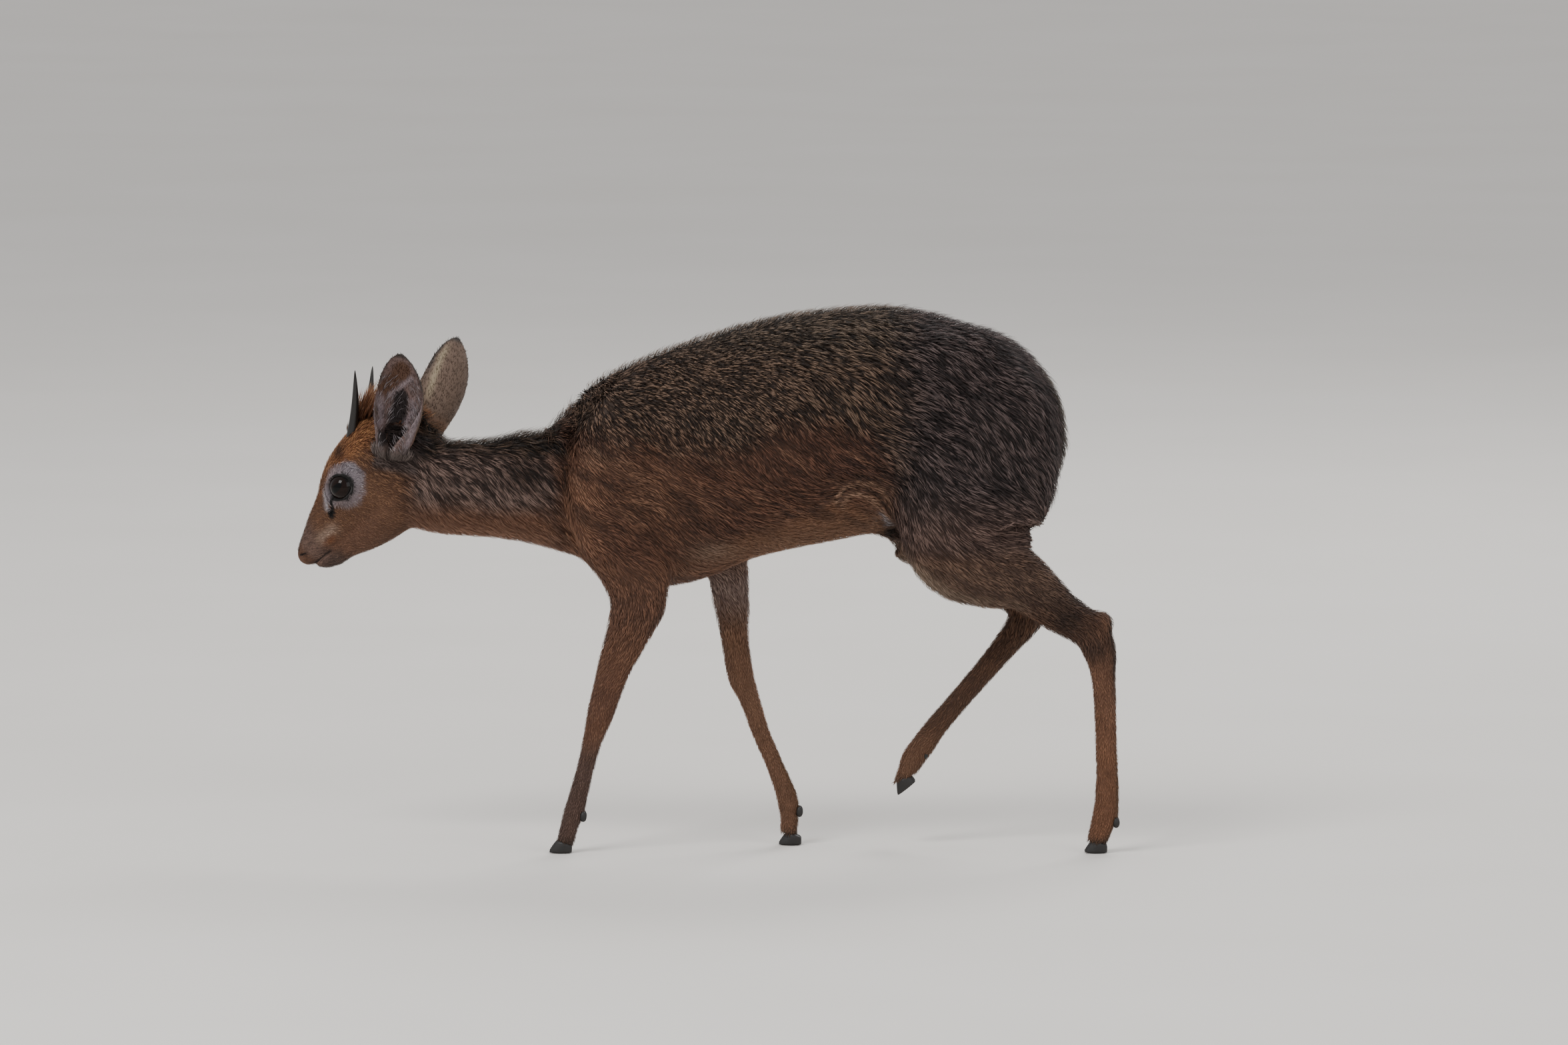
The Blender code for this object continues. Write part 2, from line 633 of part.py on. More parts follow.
def cut_eye(flesh, side, cutters):
    """The socket round the eyeball and the opening between the lids."""
    centre = head_point(*EYE_PLACE, side)
    name = "left" if side == NEAR else "right"
    socket = ellipsoid(f"socket_{name}", centre, (EYE_RADIUS + GAP,) * 3, cutters, segments=24)
    boolean(flesh, socket)
    axis = eye_axis(side)
    along = (HEAD_FORWARD - axis * HEAD_FORWARD.dot(axis)).normalized()
    up = axis.cross(along) * side
    half_length, half_height = EYE_OPENING
    rings = []
    for reach, spread in EYE_FLARE:
        rings.append([centre + axis * reach
                      + along * (math.cos(a) * half_length * spread)
                      + up * (math.sin(a) * half_height * spread)
                      for a in (2 * math.pi * k / 24 for k in range(24))])
    opening = loft(f"opening_{name}", rings, cutters)
    boolean(flesh, opening)


def cut_face(flesh, cutters):
    """The nostrils, the gland before each eye and the line of the mouth."""
    for side in (NEAR, FAR):
        name = "left" if side == NEAR else "right"
        turn = head_turn() @ Matrix.Rotation(math.radians(-NOSTRIL_TURN * side), 4, "Z")
        nostril = ellipsoid(f"nostril_{name}", head_point(*NOSTRIL_PLACE, side),
                            NOSTRIL_RADII, cutters, turn, segments=16)
        boolean(flesh, nostril)
        gland = ellipsoid(f"gland_{name}", head_point(*GLAND_PLACE, side),
                          GLAND_RADII, cutters, turn, segments=16)
        boolean(flesh, gland)
    rings = []
    for forward, reach, level, height in MOUTH_LINE:
        rings.append([head_point(forward, level + height, -reach),
                      head_point(forward, level + height, reach),
                      head_point(forward, level - height, reach),
                      head_point(forward, level - height, -reach)])
    boolean(flesh, loft("mouth", rings, cutters))


def build_crest(flesh):
    """Flat tapered locks whose roots are sunk in the crown, joined to the head."""
    chance = random.Random(CREST_SEED)
    locks = new_collection("crest_locks")
    for row, (forward, up, half_width, lean, length) in enumerate(CREST_ROWS):
        for k in range(LOCKS_IN_ROW):
            outward = half_width * (2 * (k + 0.5 * (row % 2)) / (LOCKS_IN_ROW - 0.5) - 1)
            root = head_point(forward + chance.uniform(-1, 1), up, outward)
            rise = Vector((lean, 0, 1)) + HEAD_RIGHT * (outward * LOCK_SPREAD)
            stray = Vector([chance.uniform(-LOCK_STRAY, LOCK_STRAY) for axis in "xyz"])
            rise = (rise + stray).normalized()
            reach = length * chance.uniform(0.86, 1.08)
            across = HEAD_RIGHT.cross(rise).cross(rise).normalized()
            flat = across.cross(rise)
            rings = []
            for n in range(LOCK_RINGS):
                t = n / (LOCK_RINGS - 1)
                middle = root + rise * (reach * t) + Vector((reach * LOCK_BEND * t * t, 0, 0))
                taper = (1 - t) ** 0.7 + 0.12
                rings.append([middle + across * (LOCK_WIDTH * taper * math.cos(a))
                              + flat * (LOCK_THICKNESS * taper * math.sin(a))
                              for a in (math.pi / 2 * side for side in range(4))])
            loft(f"lock_{row}_{k}", rings, locks)
    join = flesh.modifiers.new("crest", "BOOLEAN")
    join.operation = "UNION"
    join.operand_type = "COLLECTION"
    join.collection = locks
    join.solver = "EXACT"
    settle(flesh)
    for obj in list(locks.objects):
        bpy.data.objects.remove(obj)
    bpy.data.collections.remove(locks)


def build_eyes(collection, finish):
    for side, name in ((NEAR, "eye_left"), (FAR, "eye_right")):
        eye = ellipsoid(name, head_point(*EYE_PLACE, side), (EYE_RADIUS,) * 3, collection,
                        segments=20)
        eye.data.materials.append(finish)


def build_horns(collection, finish):
    for side, name in ((NEAR, "horn_left"), (FAR, "horn_right")):
        root = head_point(*HORN_ROOT, side)
        tip = head_point(*HORN_TIP, side)
        along = (tip - root).normalized()
        front = (HEAD_FORWARD - along * HEAD_FORWARD.dot(along)).normalized()
        out = along.cross(front)
        rings = []
        for k, radius in enumerate(HORN_RADII):
            t = k / (len(HORN_RADII) - 1)
            place = root.lerp(tip, t) - front * (HORN_BOW * math.sin(math.pi * t))
            rings.append([place + (front * math.cos(a) + out * math.sin(a)) * radius
                          for a in (2 * math.pi * n / HORN_SIDES for n in range(HORN_SIDES))])
        loft(name, rings, collection, finish)


def between(value, start, end):
    """0 up to start, 1 from end on and even between."""
    return min(1, max(0, (value - start) / (end - start)))


def build_ears(collection, finish):
    """Each ear is a leaf that is curled into a cup, thickest at its root."""
    for side, name in ((NEAR, "ear_left"), (FAR, "ear_right")):
        root, tip, facing = (Vector(v) for v in EARS[side])
        along = (tip - root).normalized()
        facing = (facing - along * facing.dot(along)).normalized()
        across = along.cross(facing)
        rings = []
        for t, width, depth in EAR_PROFILE:
            place = root.lerp(tip, t) - facing * (EAR_BOW * math.sin(math.pi * t))
            open_share = between(t, *EAR_UNCURL)
            half = math.radians(EAR_CURL[0] + (EAR_CURL[1] - EAR_CURL[0]) * open_share)
            wide = width / 2 / math.sin(min(half, math.pi / 2))
            wall = min(EAR_THICKNESS, depth * 0.45)
            hollow = 0.25 + 0.75 * between(t, EAR_STEM, EAR_FLOOR)
            angles = [half * (2 * n / EAR_SIDES - 1) for n in range(EAR_SIDES + 1)]
            outer = [place + across * (wide * math.sin(a)) - facing * (depth * math.cos(a))
                     for a in angles]
            inner = [place + (across * ((wide - wall) * math.sin(a))
                              - facing * ((depth - wall) * math.cos(a))) * hollow
                     for a in angles[1:-1]]
            rings.append(outer + inner[::-1])
        loft(name, rings, collection, finish)


def foot_frame(place, pitch):
    """X to the toe, Y to the animal's right and Z up from the sole."""
    p = math.radians(pitch)
    ahead = Vector((-math.cos(p), 0, -math.sin(p)))
    up = Vector((-math.sin(p), 0, math.cos(p)))
    side = Vector((0, 1, 0))
    turn = Matrix((ahead, side, up)).transposed().to_4x4()
    return Matrix.Translation(Vector(place)) @ turn


def coronet(x):
    """The height of a hoof's upper edge above its sole."""
    share = (x + HOOF_LENGTH / 2) / (HOOF_LENGTH - TOE_LEAN)
    return HOOF_HEEL + (HOOF_FRONT - HOOF_HEEL) * share


def build_hooves(collection, finish):
    for foot, (place, pitch) in FEET.items():
        frame = foot_frame(place, pitch)
        for side in (NEAR, FAR):
            name = "outer" if side * place[1] > 0 else "inner"
            middle = side * (HOOF_WIDTH + HOOF_SPACING) / 2
            rings = []
            for level in HOOF_LEVELS:
                ring = []
                for n in range(HOOF_SIDES):
                    a = 2 * math.pi * n / HOOF_SIDES
                    lean = TOE_LEAN * level
                    tuck = HOOF_TUCK if level == 0 else 0
                    half = HOOF_LENGTH / 2 - lean / 2 - tuck
                    x = -lean / 2 + half * math.cos(a)
                    narrow = 1 - HOOF_POINT * max(0, math.cos(a))
                    y = (HOOF_WIDTH / 2 - tuck - HOOF_DRAFT * level) * narrow * math.sin(a)
                    ring.append(frame @ Vector((x, middle + y, coronet(x) * level)))
                rings.append(ring)
            loft(f"hoof_{foot}_{name}", rings, collection, finish)


def cut_feet(flesh, cutters):
    """Ends each leg just above its hooves."""
    slope = math.atan((HOOF_FRONT - HOOF_HEEL) / (HOOF_LENGTH - TOE_LEAN))
    for foot, (place, pitch) in FEET.items():
        tilt = Matrix.Rotation(-slope, 4, "Y")
        top = Matrix.Translation((0, 0, coronet(0) + GAP))
        frame = foot_frame(place, pitch) @ top @ tilt
        block = box(f"below_{foot}", frame, *FOOT_BLOCK, cutters)
        boolean(flesh, block)


def build_dewclaws(collection, finish):
    for foot, (x, z) in DEWCLAWS.items():
        y = FEET[foot][0][1]
        for side in (NEAR, FAR):
            name = "outer" if side * y > 0 else "inner"
            claw = ellipsoid(f"dewclaw_{foot}_{name}", (x, y + DEWCLAW_SPREAD * side, z),
                             DEWCLAW_RADII, collection, segments=10)
            claw.data.materials.append(finish)


def build_tail(collection, finish):
    rings = []
    rows = smooth_rows(TAIL, 2)
    for x, y, z, radius in rows:
        rings.append([(x + radius * TAIL_FLATNESS * math.cos(a), y + radius * math.sin(a), z)
                      for a in (2 * math.pi * n / TAIL_SIDES for n in range(TAIL_SIDES))])
    loft("tail", rings, collection, finish)


def part_body(flesh, model, cutters, finishes):
    for k, (point, facing, half_length, half_width) in enumerate(PARTINGS):
        frame = facing_frame(point, facing)
        plate = box(f"parting_{k}", frame, (-half_length, -half_width, -GAP / 2),
                    (half_length, half_width, GAP / 2), cutters)
        boolean(flesh, plate)
    pieces = loose_pieces(flesh)
    taken = {}
    for mesh in pieces:
        points = points_of(mesh)
        middle = (points.min(0) + points.max(0)) / 2
        near = min(PIECES, key=lambda name: np.linalg.norm(middle - PIECES[name][0]))
        if near not in taken:
            taken[near] = add_object(near, mesh, model, finishes[PIECES[near][1]])
    bpy.data.objects.remove(flesh)
    return taken


def stand_over_origin(model):
    """Centres the animal's box over the origin, with the soles at height zero."""
    lows, highs = [], []
    for obj in model.objects:
        points = points_of(obj.data)
        lows.append(points.min(0))
        highs.append(points.max(0))
    low, high = np.min(lows, 0), np.max(highs, 0)
    shift = Vector(-(low + high) / 2 * MM)
    shift.z = -low[2] * MM
    for obj in list(model.objects) + list(CUTTERS.objects):
        obj.data.transform(Matrix.Translation(shift))


clear_scene()
MODEL = new_collection("dik_dik")
CUTTERS = new_collection("cutters")
SHAPES = new_collection("masses")
FINISHES = {
    "body_coat": material("body_coat", COAT, 0.9),
    "neck_coat": material("neck_coat", GREY_COAT, 0.9),
    "face_coat": material("face_coat", FACE_COAT, 0.85),
    "leg_coat": material("leg_coat", LEG_COAT, 0.85),
    "ear_skin": material("ear_skin", EAR_COAT, 0.8),
    "horn": material("horn", HORN_BLACK, 0.4),
    "hoof": material("hoof", HOOF_BLACK, 0.45),
    "eye": material("eye", EYE_BLACK, 0.08),
}
build_flesh(SHAPES)
flesh = fuse_flesh(SHAPES, MODEL)
bpy.data.collections.remove(SHAPES)
for side in (NEAR, FAR):
    cut_eye(flesh, side, CUTTERS)
cut_face(flesh, CUTTERS)
cut_feet(flesh, CUTTERS)
keep_largest(flesh)
around = swollen(flesh, GAP, "around", CUTTERS)
build_horns(MODEL, FINISHES["horn"])
build_ears(MODEL, FINISHES["ear_skin"])
build_dewclaws(MODEL, FINISHES["hoof"])
build_tail(MODEL, FINISHES["body_coat"])
for obj in list(MODEL.objects):
    if obj is not flesh:
        boolean(obj, around)
        keep_largest(obj)
build_crest(flesh)
build_hooves(MODEL, FINISHES["hoof"])
build_eyes(MODEL, FINISHES["eye"])
part_body(flesh, MODEL, CUTTERS, FINISHES)
stand_over_origin(MODEL)
for obj in CUTTERS.objects:
    obj.hide_render = True
    obj.display_type = "WIRE"
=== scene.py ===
import math

import bmesh
import bpy
import numpy as np
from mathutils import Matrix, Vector
from mathutils.bvhtree import BVHTree
from mathutils.kdtree import KDTree


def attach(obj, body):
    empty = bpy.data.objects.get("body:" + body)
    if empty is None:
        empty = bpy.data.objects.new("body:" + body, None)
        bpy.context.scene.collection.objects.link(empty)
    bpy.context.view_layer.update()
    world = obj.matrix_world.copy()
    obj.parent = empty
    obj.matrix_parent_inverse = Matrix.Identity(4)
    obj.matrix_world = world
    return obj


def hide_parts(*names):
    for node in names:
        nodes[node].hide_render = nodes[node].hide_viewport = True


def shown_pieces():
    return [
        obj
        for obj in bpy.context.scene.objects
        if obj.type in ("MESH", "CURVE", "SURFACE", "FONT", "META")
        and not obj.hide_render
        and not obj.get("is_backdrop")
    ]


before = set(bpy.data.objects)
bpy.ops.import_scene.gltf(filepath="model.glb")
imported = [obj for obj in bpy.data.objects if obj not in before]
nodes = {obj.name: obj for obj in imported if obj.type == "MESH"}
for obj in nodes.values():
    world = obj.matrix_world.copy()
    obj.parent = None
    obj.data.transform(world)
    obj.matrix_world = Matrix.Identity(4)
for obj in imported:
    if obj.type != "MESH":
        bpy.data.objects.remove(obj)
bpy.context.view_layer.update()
mm = 0.001

# Lengths below are in millimetres, in the part's own frame: nose to -X, left side to -Y.
headPose = {"centre": (-292.08, 36.38, 296.8), "yaw": 20, "noseDown": 41}

yaw, nod = math.radians(headPose["yaw"]), math.radians(headPose["noseDown"])
headCentre = np.array(headPose["centre"])
headAhead = np.array((-math.cos(yaw) * math.cos(nod), math.sin(yaw) * math.cos(nod), -math.sin(nod)))
headUp = np.array((-math.cos(yaw) * math.sin(nod), math.sin(yaw) * math.sin(nod), math.cos(nod)))
headRight = np.array((math.sin(yaw), math.cos(yaw), 0.0))


# small helpers

def pickNone():
    bpy.ops.object.select_all(action="DESELECT")


def pick(*objs):
    pickNone()
    for o in objs:
        o.select_set(True)
    bpy.context.view_layer.objects.active = objs[0]


def applyAll(obj):
    pick(obj)
    for step in list(obj.modifiers):
        bpy.ops.object.modifier_apply(modifier=step.name)


def shown(name, data):                       # a new object in the scene
    obj = bpy.data.objects.new(name, data)
    bpy.context.scene.collection.objects.link(obj)
    return obj


def inEdit(obj, *steps):                     # edit mode steps on the whole mesh
    pick(obj)
    bpy.ops.object.mode_set(mode="EDIT")
    bpy.ops.mesh.select_all(action="SELECT")
    for step, settings in steps:
        step(**settings)
    bpy.ops.object.mode_set(mode="OBJECT")


def roundOff(obj, levels):
    smooth = obj.modifiers.new("smooth", "SUBSURF")
    smooth.levels = smooth.render_levels = levels
    applyAll(obj)
    bpy.ops.object.shade_smooth()


def asPiece(obj, *replaced, slot=None):
    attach(obj, "root")
    if replaced:
        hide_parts(*replaced)
    return obj


def pointsOf(mesh):
    flat = np.empty(len(mesh.vertices) * 3)
    mesh.vertices.foreach_get("co", flat)
    return flat.reshape(-1, 3) / mm


def normalsOf(mesh):
    flat = np.empty(len(mesh.vertices) * 3)
    mesh.vertex_normals.foreach_get("vector", flat)
    return flat.reshape(-1, 3)


def setPoints(mesh, points):
    mesh.vertices.foreach_set("co", (points * mm).astype(np.float32).ravel())
    mesh.update()


def setTint(mesh, colours):
    rgba = np.ones((len(mesh.vertices), 4), np.float32)
    rgba[:, :3] = colours
    mesh.color_attributes.new("coatTint", "FLOAT_COLOR", "POINT").data.foreach_set("color", rgba.ravel())


def trianglesOf(mesh):
    mesh.calc_loop_triangles()
    flat = np.empty(len(mesh.loop_triangles) * 3, np.int32)
    mesh.loop_triangles.foreach_get("vertices", flat)
    return flat.reshape(-1, 3)


def unit(v):
    return v / np.maximum(np.linalg.norm(v, axis=-1, keepdims=True), 1e-9)


def ramp(value, start, end):                 # 0 at start, 1 at end, soft between
    t = np.clip((value - start) / (end - start), 0, 1)
    return t * t * (3 - 2 * t)


def bump(value, middle, reach):              # 1 at the middle, 0 past the reach
    return np.exp(-((value - middle) / reach) ** 2 * 2)


def inHead(points):                          # forward, up, outward to the right
    q = points - headCentre
    return q @ headAhead, q @ headUp, q @ headRight


def fromHead(forward, up, outward):
    return headCentre + np.multiply.outer(forward, headAhead) + np.multiply.outer(up, headUp) \
        + np.multiply.outer(outward, headRight)


def grain(points, size, seed=0):             # smooth noise from 0 to 1, lumps of the given size
    p = points / size + seed * 17.31
    base = np.floor(p).astype(np.int64)
    f = p - base
    f = f * f * (3 - 2 * f)
    total = np.zeros(len(p))
    for corner in range(8):
        step = np.array([corner & 1, corner >> 1 & 1, corner >> 2 & 1])
        c = base + step
        h = (c[:, 0] * 73856093) ^ (c[:, 1] * 19349663) ^ (c[:, 2] * 83492791) ^ (seed * 2654435)
        h = (h ^ (h >> 13)) * 1274126177 & 0x7fffffff
        h = (h ^ (h >> 16)) & 0xffff
        share = np.prod(np.where(step, f, 1 - f), axis=1)
        total += share * h / 65535
    return total


def tone(code):                              # screen colour to the renderer's own numbers
    c = np.array([int(code[i:i + 2], 16) for i in (0, 2, 4)]) / 255
    return np.where(c <= 0.04045, c / 12.92, ((c + 0.055) / 1.055) ** 2.4)


# the bare skin: copies of the flesh nodes fused into one, set in by the depth of the coat

fleshNodes = ["head", "neck", "torso", "tail"] + [
    f"leg_{pair}_{side}_{part}" for pair in ("fore", "hind") for side in ("left", "right")
    for part in ("upper", "lower")]

skinLook = {
    "grow": 0.4,             # closes the gaps between nodes before they fuse
    "voxel": 1.25,
    "triangles": 150000,
    "calmBody": 26, "calmHead": 5, "calmCrown": 22,
    "crownForward": (-90, -80, -73, -60, -43.5, -28, -16, -7),
    "crownTop": (-14, -6, 9, 24, 33.5, 34.5, 32.5, 31),
    "crownHalfWidth": 27,
}

eyeLook = {
    "place": (0.0, 0.0, 17.0), "radius": 12.6,
    "axis": (0.16, 0.08, 1.0),       # forward, up, outward
    "cornea": 0.9, "socket": 13.4, "behind": 11.3, "rimWide": 1.2, "rimHigh": 0.7,
    # how far the lids stand from the middle of the eye, by angle from the front, turning upwards
    "lidAngle": (-180, -139, -90, -46, -16, 13, 50, 85, 120, 154, 180),
    "lidReach": (11.4, 11.0, 10.0, 10.1, 12.4, 13.0, 12.4, 10.4, 10.1, 10.7, 11.4),
    # the same for the edge of the pale ring, and how pale it is there
    "ringAngle": (-180, -154, -110, -68, -35, -3, 20, 60, 98, 123, 159, 180),
    "ringReach": (24, 22.5, 19.5, 19, 17.5, 22, 18.5, 15.5, 16, 17, 24.5, 24),
    "ringPale": (0.95, 0.9, 0.75, 0.7, 0.6, 1.0, 1.0, 0.75, 0.75, 0.85, 1.0, 0.95),
}


def lidReach(turn):
    return np.interp(np.degrees(turn), eyeLook["lidAngle"], eyeLook["lidReach"])


def eyeFrame(side):                          # centre, axis, along and up of one eye
    forward, up, outward = eyeLook["place"]
    centre = fromHead(forward, up, outward * side)
    a, b, c = eyeLook["axis"]
    axis = unit(headAhead * a + headUp * b + headRight * side * c)
    along = unit(headAhead - axis * (headAhead @ axis))
    rise = np.cross(axis, along) * side
    return centre, axis, along, rise


def coatDepth(p):                            # how far the skin lies below the solids
    f = inHead(p)[0]
    onHead = 1 - ramp(p[:, 0], -272, -225)
    depth = np.full(len(p), 3.4)
    depth = depth + (1.1 - depth) * ramp(-p[:, 2], -262, -190)
    depth = depth + (0.75 - depth) * ramp(-p[:, 2], -150, -80)
    depth = depth + (2.6 - depth) * (1 - ramp(p[:, 0], -150, -110)) * (1 - onHead)
    depth = depth + (0.9 - depth) * onHead
    depth = depth + (0.45 - depth) * onHead * ramp(f, 30, 55)
    return depth


def makeSkin():
    made = []
    for name in fleshNodes:
        mesh = nodes[name].data.copy()
        b = bmesh.new()
        b.from_mesh(mesh)
        bmesh.ops.remove_doubles(b, verts=b.verts, dist=1e-6)
        b.to_mesh(mesh)
        b.free()
        mesh.materials.clear()
        p = pointsOf(mesh)
        p += normalsOf(mesh) * skinLook["grow"]
        if name in ("head", "neck"):         # the solid crest goes: hair stands there
            f, u, o = inHead(p)
            top = np.interp(f, skinLook["crownForward"], skinLook["crownTop"])
            side = np.clip(np.abs(o) / skinLook["crownHalfWidth"], 0, 1)
            limit = top * np.sqrt(1 - side ** 2 * 0.8) + 0.4
            low = (u > limit) & (f < -22) & (f > -90) & (np.abs(o) < 20)
            u = np.where(low, limit, u)
            p = fromHead(f, u, o)
            behind = (p[:, 0] > -236) & (p[:, 2] > 341)
            p[behind, 2] = 341
        setPoints(mesh, p)
        made.append(shown("part_" + name, mesh))
    for side in (-1, 1):                     # fills the sockets; the lids are cut again below
        centre = eyeFrame(side)[0]
        pickNone()
        bpy.ops.mesh.primitive_uv_sphere_add(segments=48, ring_count=24, radius=eyeLook["socket"] * mm,
                                             location=Vector(centre * mm))
        bpy.ops.object.transform_apply(location=True, rotation=True, scale=True)
        made.append(bpy.context.object)
    pick(*made)
    bpy.ops.object.join()
    skin = bpy.context.object
    skin.name = skin.data.name = "skin"
    step = skin.modifiers.new("fuse", "REMESH")
    step.mode = "VOXEL"
    step.voxel_size = skinLook["voxel"] * mm
    applyAll(skin)
    p = pointsOf(skin.data)
    f, u, o = inHead(p)
    onHead = 1 - ramp(p[:, 0], -262, -228)
    crown = onHead * (f < -20) * (u > 5) * (np.abs(o) < 22)
    foot = p[:, 2] < 60
    for name, weight, times in (("soft", (1 - onHead) * ~foot, skinLook["calmBody"]),
                                ("face", np.maximum(onHead, foot), skinLook["calmHead"]),
                                ("crown", (crown > 0.5) * 1.0, skinLook["calmCrown"])):
        group = skin.vertex_groups.new(name=name)
        stepped = np.round(weight * 8).astype(int)
        for level in range(1, 9):
            group.add(np.nonzero(stepped == level)[0].tolist(), level / 8, "REPLACE")
        calm = skin.modifiers.new(name, "SMOOTH")
        calm.factor = 0.6
        calm.iterations = times
        calm.vertex_group = name
    thin = skin.modifiers.new("thin", "DECIMATE")
    thin.ratio = skinLook["triangles"] / (2 * len(skin.data.polygons))
    applyAll(skin)
    skin.vertex_groups.clear()
    p = pointsOf(skin.data)
    p -= normalsOf(skin.data) * coatDepth(p)[:, None]
    p = sculpt(p)
    setPoints(skin.data, p)
    skin.data.materials.clear()
    pick(skin)
    bpy.ops.object.shade_smooth()
    return skin


sculptLook = {
    # lines across the flank in front of the thigh, x and z: folds stand out, furrows go in; the folds also get painted
    # highlight and the furrows painted shade
    "folds": (((106, 284), (107.5, 291), (111, 297), (117, 299.5), (126, 297), (134, 291), (141, 284), (148, 276)),
              ((101, 292), (104, 301), (110, 306), (118, 309), (130, 309), (138, 303), (146, 295))),
    "furrows": (((103, 288), (105, 296), (110, 302), (118, 304.5), (128, 303), (137, 297), (146, 288)),
                ((99, 297), (102, 305), (109, 311), (118, 313.5), (131, 313.5), (137, 311)),
                ((124, 324), (131, 323.5), (138, 320.5), (143, 313.5))),
    "foldWide": 2.6, "foldHigh": 1.7, "furrowWide": 2.0, "furrowDeep": 1.9,
    "mouth": ((74, -29.0), (66, -29.2), (56, -29.7), (47, -30.4), (41, -29.8)), "mouthDeep": 1.3,
    "gland": {"middle": (24.0, -8.2), "reach": (4.4, 3.0), "deep": 1.4},
    "nostril": {"middle": (69.5, -17.5), "reach": (3.0, 0.9), "deep": 1.0, "tilt": 0.45},
    # the groin goes back behind the belly, and the leg ends go down into the hooves
    "groin": (143, 251), "groinReach": (15, 14), "groinBack": 14, "legEnd": 3.4, "liftedToe": (162, 52),
    "liftedWay": (-0.385, 0, -0.923),
}


def awayFrom(p, q, line):                    # distance from a line of points in a plane
    best = np.full(len(p), 1e9)
    for (xa, ya), (xb, yb) in zip(line, line[1:]):
        dx, dy = xb - xa, yb - ya
        t = np.clip(((p - xa) * dx + (q - ya) * dy) / (dx * dx + dy * dy), 0, 1)
        best = np.minimum(best, np.hypot(p - xa - t * dx, q - ya - t * dy))
    return best


def mouthLine(f):
    line = sculptLook["mouth"]
    return np.interp(-f, [-a for a, b in line], [b for a, b in line])


def foldShape(p):                            # from -1 in a furrow to 1 on a fold
    onFlank = ramp(np.abs(p[:, 1]), 22, 36) * (np.abs(p[:, 0] - 124) < 40) * (np.abs(p[:, 2] - 300) < 40)
    high, low = np.zeros(len(p)), np.zeros(len(p))
    near = onFlank > 0
    x, z = p[near, 0], p[near, 2]
    for line in sculptLook["folds"]:
        high[near] = np.maximum(high[near], bump(awayFrom(x, z, line), 0, sculptLook["foldWide"]))
    for line in sculptLook["furrows"]:
        low[near] = np.maximum(low[near], bump(awayFrom(x, z, line), 0, sculptLook["furrowWide"]))
    return high * onFlank, low * onFlank


def sculpt(p):                               # folds and openings pressed into the skin
    q = p.copy()
    high, low = foldShape(p)
    q[:, 1] += np.sign(p[:, 1]) * (sculptLook["foldHigh"] * high - sculptLook["furrowDeep"] * low)
    (groinX, groinZ), (wide, high) = sculptLook["groin"], sculptLook["groinReach"]
    atGroin = bump(p[:, 0], groinX, wide) * bump(p[:, 2] + p[:, 1] * 0.11, groinZ, high)
    q[:, 0] += sculptLook["groinBack"] * atGroin
    q[:, 2] -= sculptLook["legEnd"] * ramp(-p[:, 2], -23, -15)
    (toeX, toeZ), (wayX, _, wayZ) = sculptLook["liftedToe"], sculptLook["liftedWay"]
    drop = (p[:, 0] - toeX) * wayX + (p[:, 2] - toeZ) * wayZ
    lifted = ramp(drop, -12, -4) * (np.abs(p[:, 0] - 165) < 20) * (np.abs(p[:, 2] - 56) < 20) * (p[:, 1] > 0)
    q += np.multiply.outer(lifted * sculptLook["legEnd"], sculptLook["liftedWay"])
    f, u, o = inHead(p)
    side = np.sign(o)
    half = 0.9 + 0.7 * ramp(-f, -58, -46)
    cut = bump(u, mouthLine(f), half) * ramp(f, 46, 51) * (np.abs(o) > 1)
    o2 = o - side * cut * sculptLook["mouthDeep"]
    for name in ("gland", "nostril"):
        look = sculptLook[name]
        df, du = f - look["middle"][0], u - look["middle"][1]
        du = du - df * look.get("tilt", 0)
        pit = np.exp(-((df / look["reach"][0]) ** 2 + (du / look["reach"][1]) ** 2) * 1.6)
        o2 = o2 - side * pit * look["deep"] * (np.abs(o) > 3)
    q += np.multiply.outer(o2 - o, headRight)
    for s in (-1, 1):                        # the opening between the lids
        centre, axis, along, rise = eyeFrame(s)
        r = q - centre
        a, l, h = r @ axis, r @ along, r @ rise
        across = np.hypot(l, h) / lidReach(np.arctan2(h, l))
        size = np.linalg.norm(r, axis=1)
        near = (a > 2) & (size < 24)
        inside = near & (across < 1)
        rim = near & (across >= 1) & (across < 1.3)
        q[inside] = centre + r[inside] / size[inside, None] * eyeLook["behind"]
        want = np.maximum(size[rim], eyeLook["socket"])
        q[rim] = centre + r[rim] / size[rim, None] * want[:, None]
    return q


# markings, painted shade and painted highlights, the same for skin and coat

legLines = {   # along the middle of each leg, x and z
    "foreNear": ((-57, 238), (-58, 208), (-67, 176), (-83, 131), (-94, 92), (-99, 72), (-106, 45), (-112, 26),
                 (-119, 5)),
    "foreFar": ((10, 262), (16, 232), (20, 194), (23, 163), (30, 131), (43, 92), (53, 70), (63, 43), (66, 20),
                (65, 4)),
    "hindNear": ((204, 246), (232, 234), (255, 227), (289, 199), (310, 186), (320, 165), (325, 130), (326, 90),
                 (327, 50), (323, 24), (317, 8)),
    "hindFar": ((156, 271), (180, 256), (207, 238), (240, 217), (262, 200), (255, 178), (229, 146), (198, 110),
                (172, 76), (162, 52)),
}
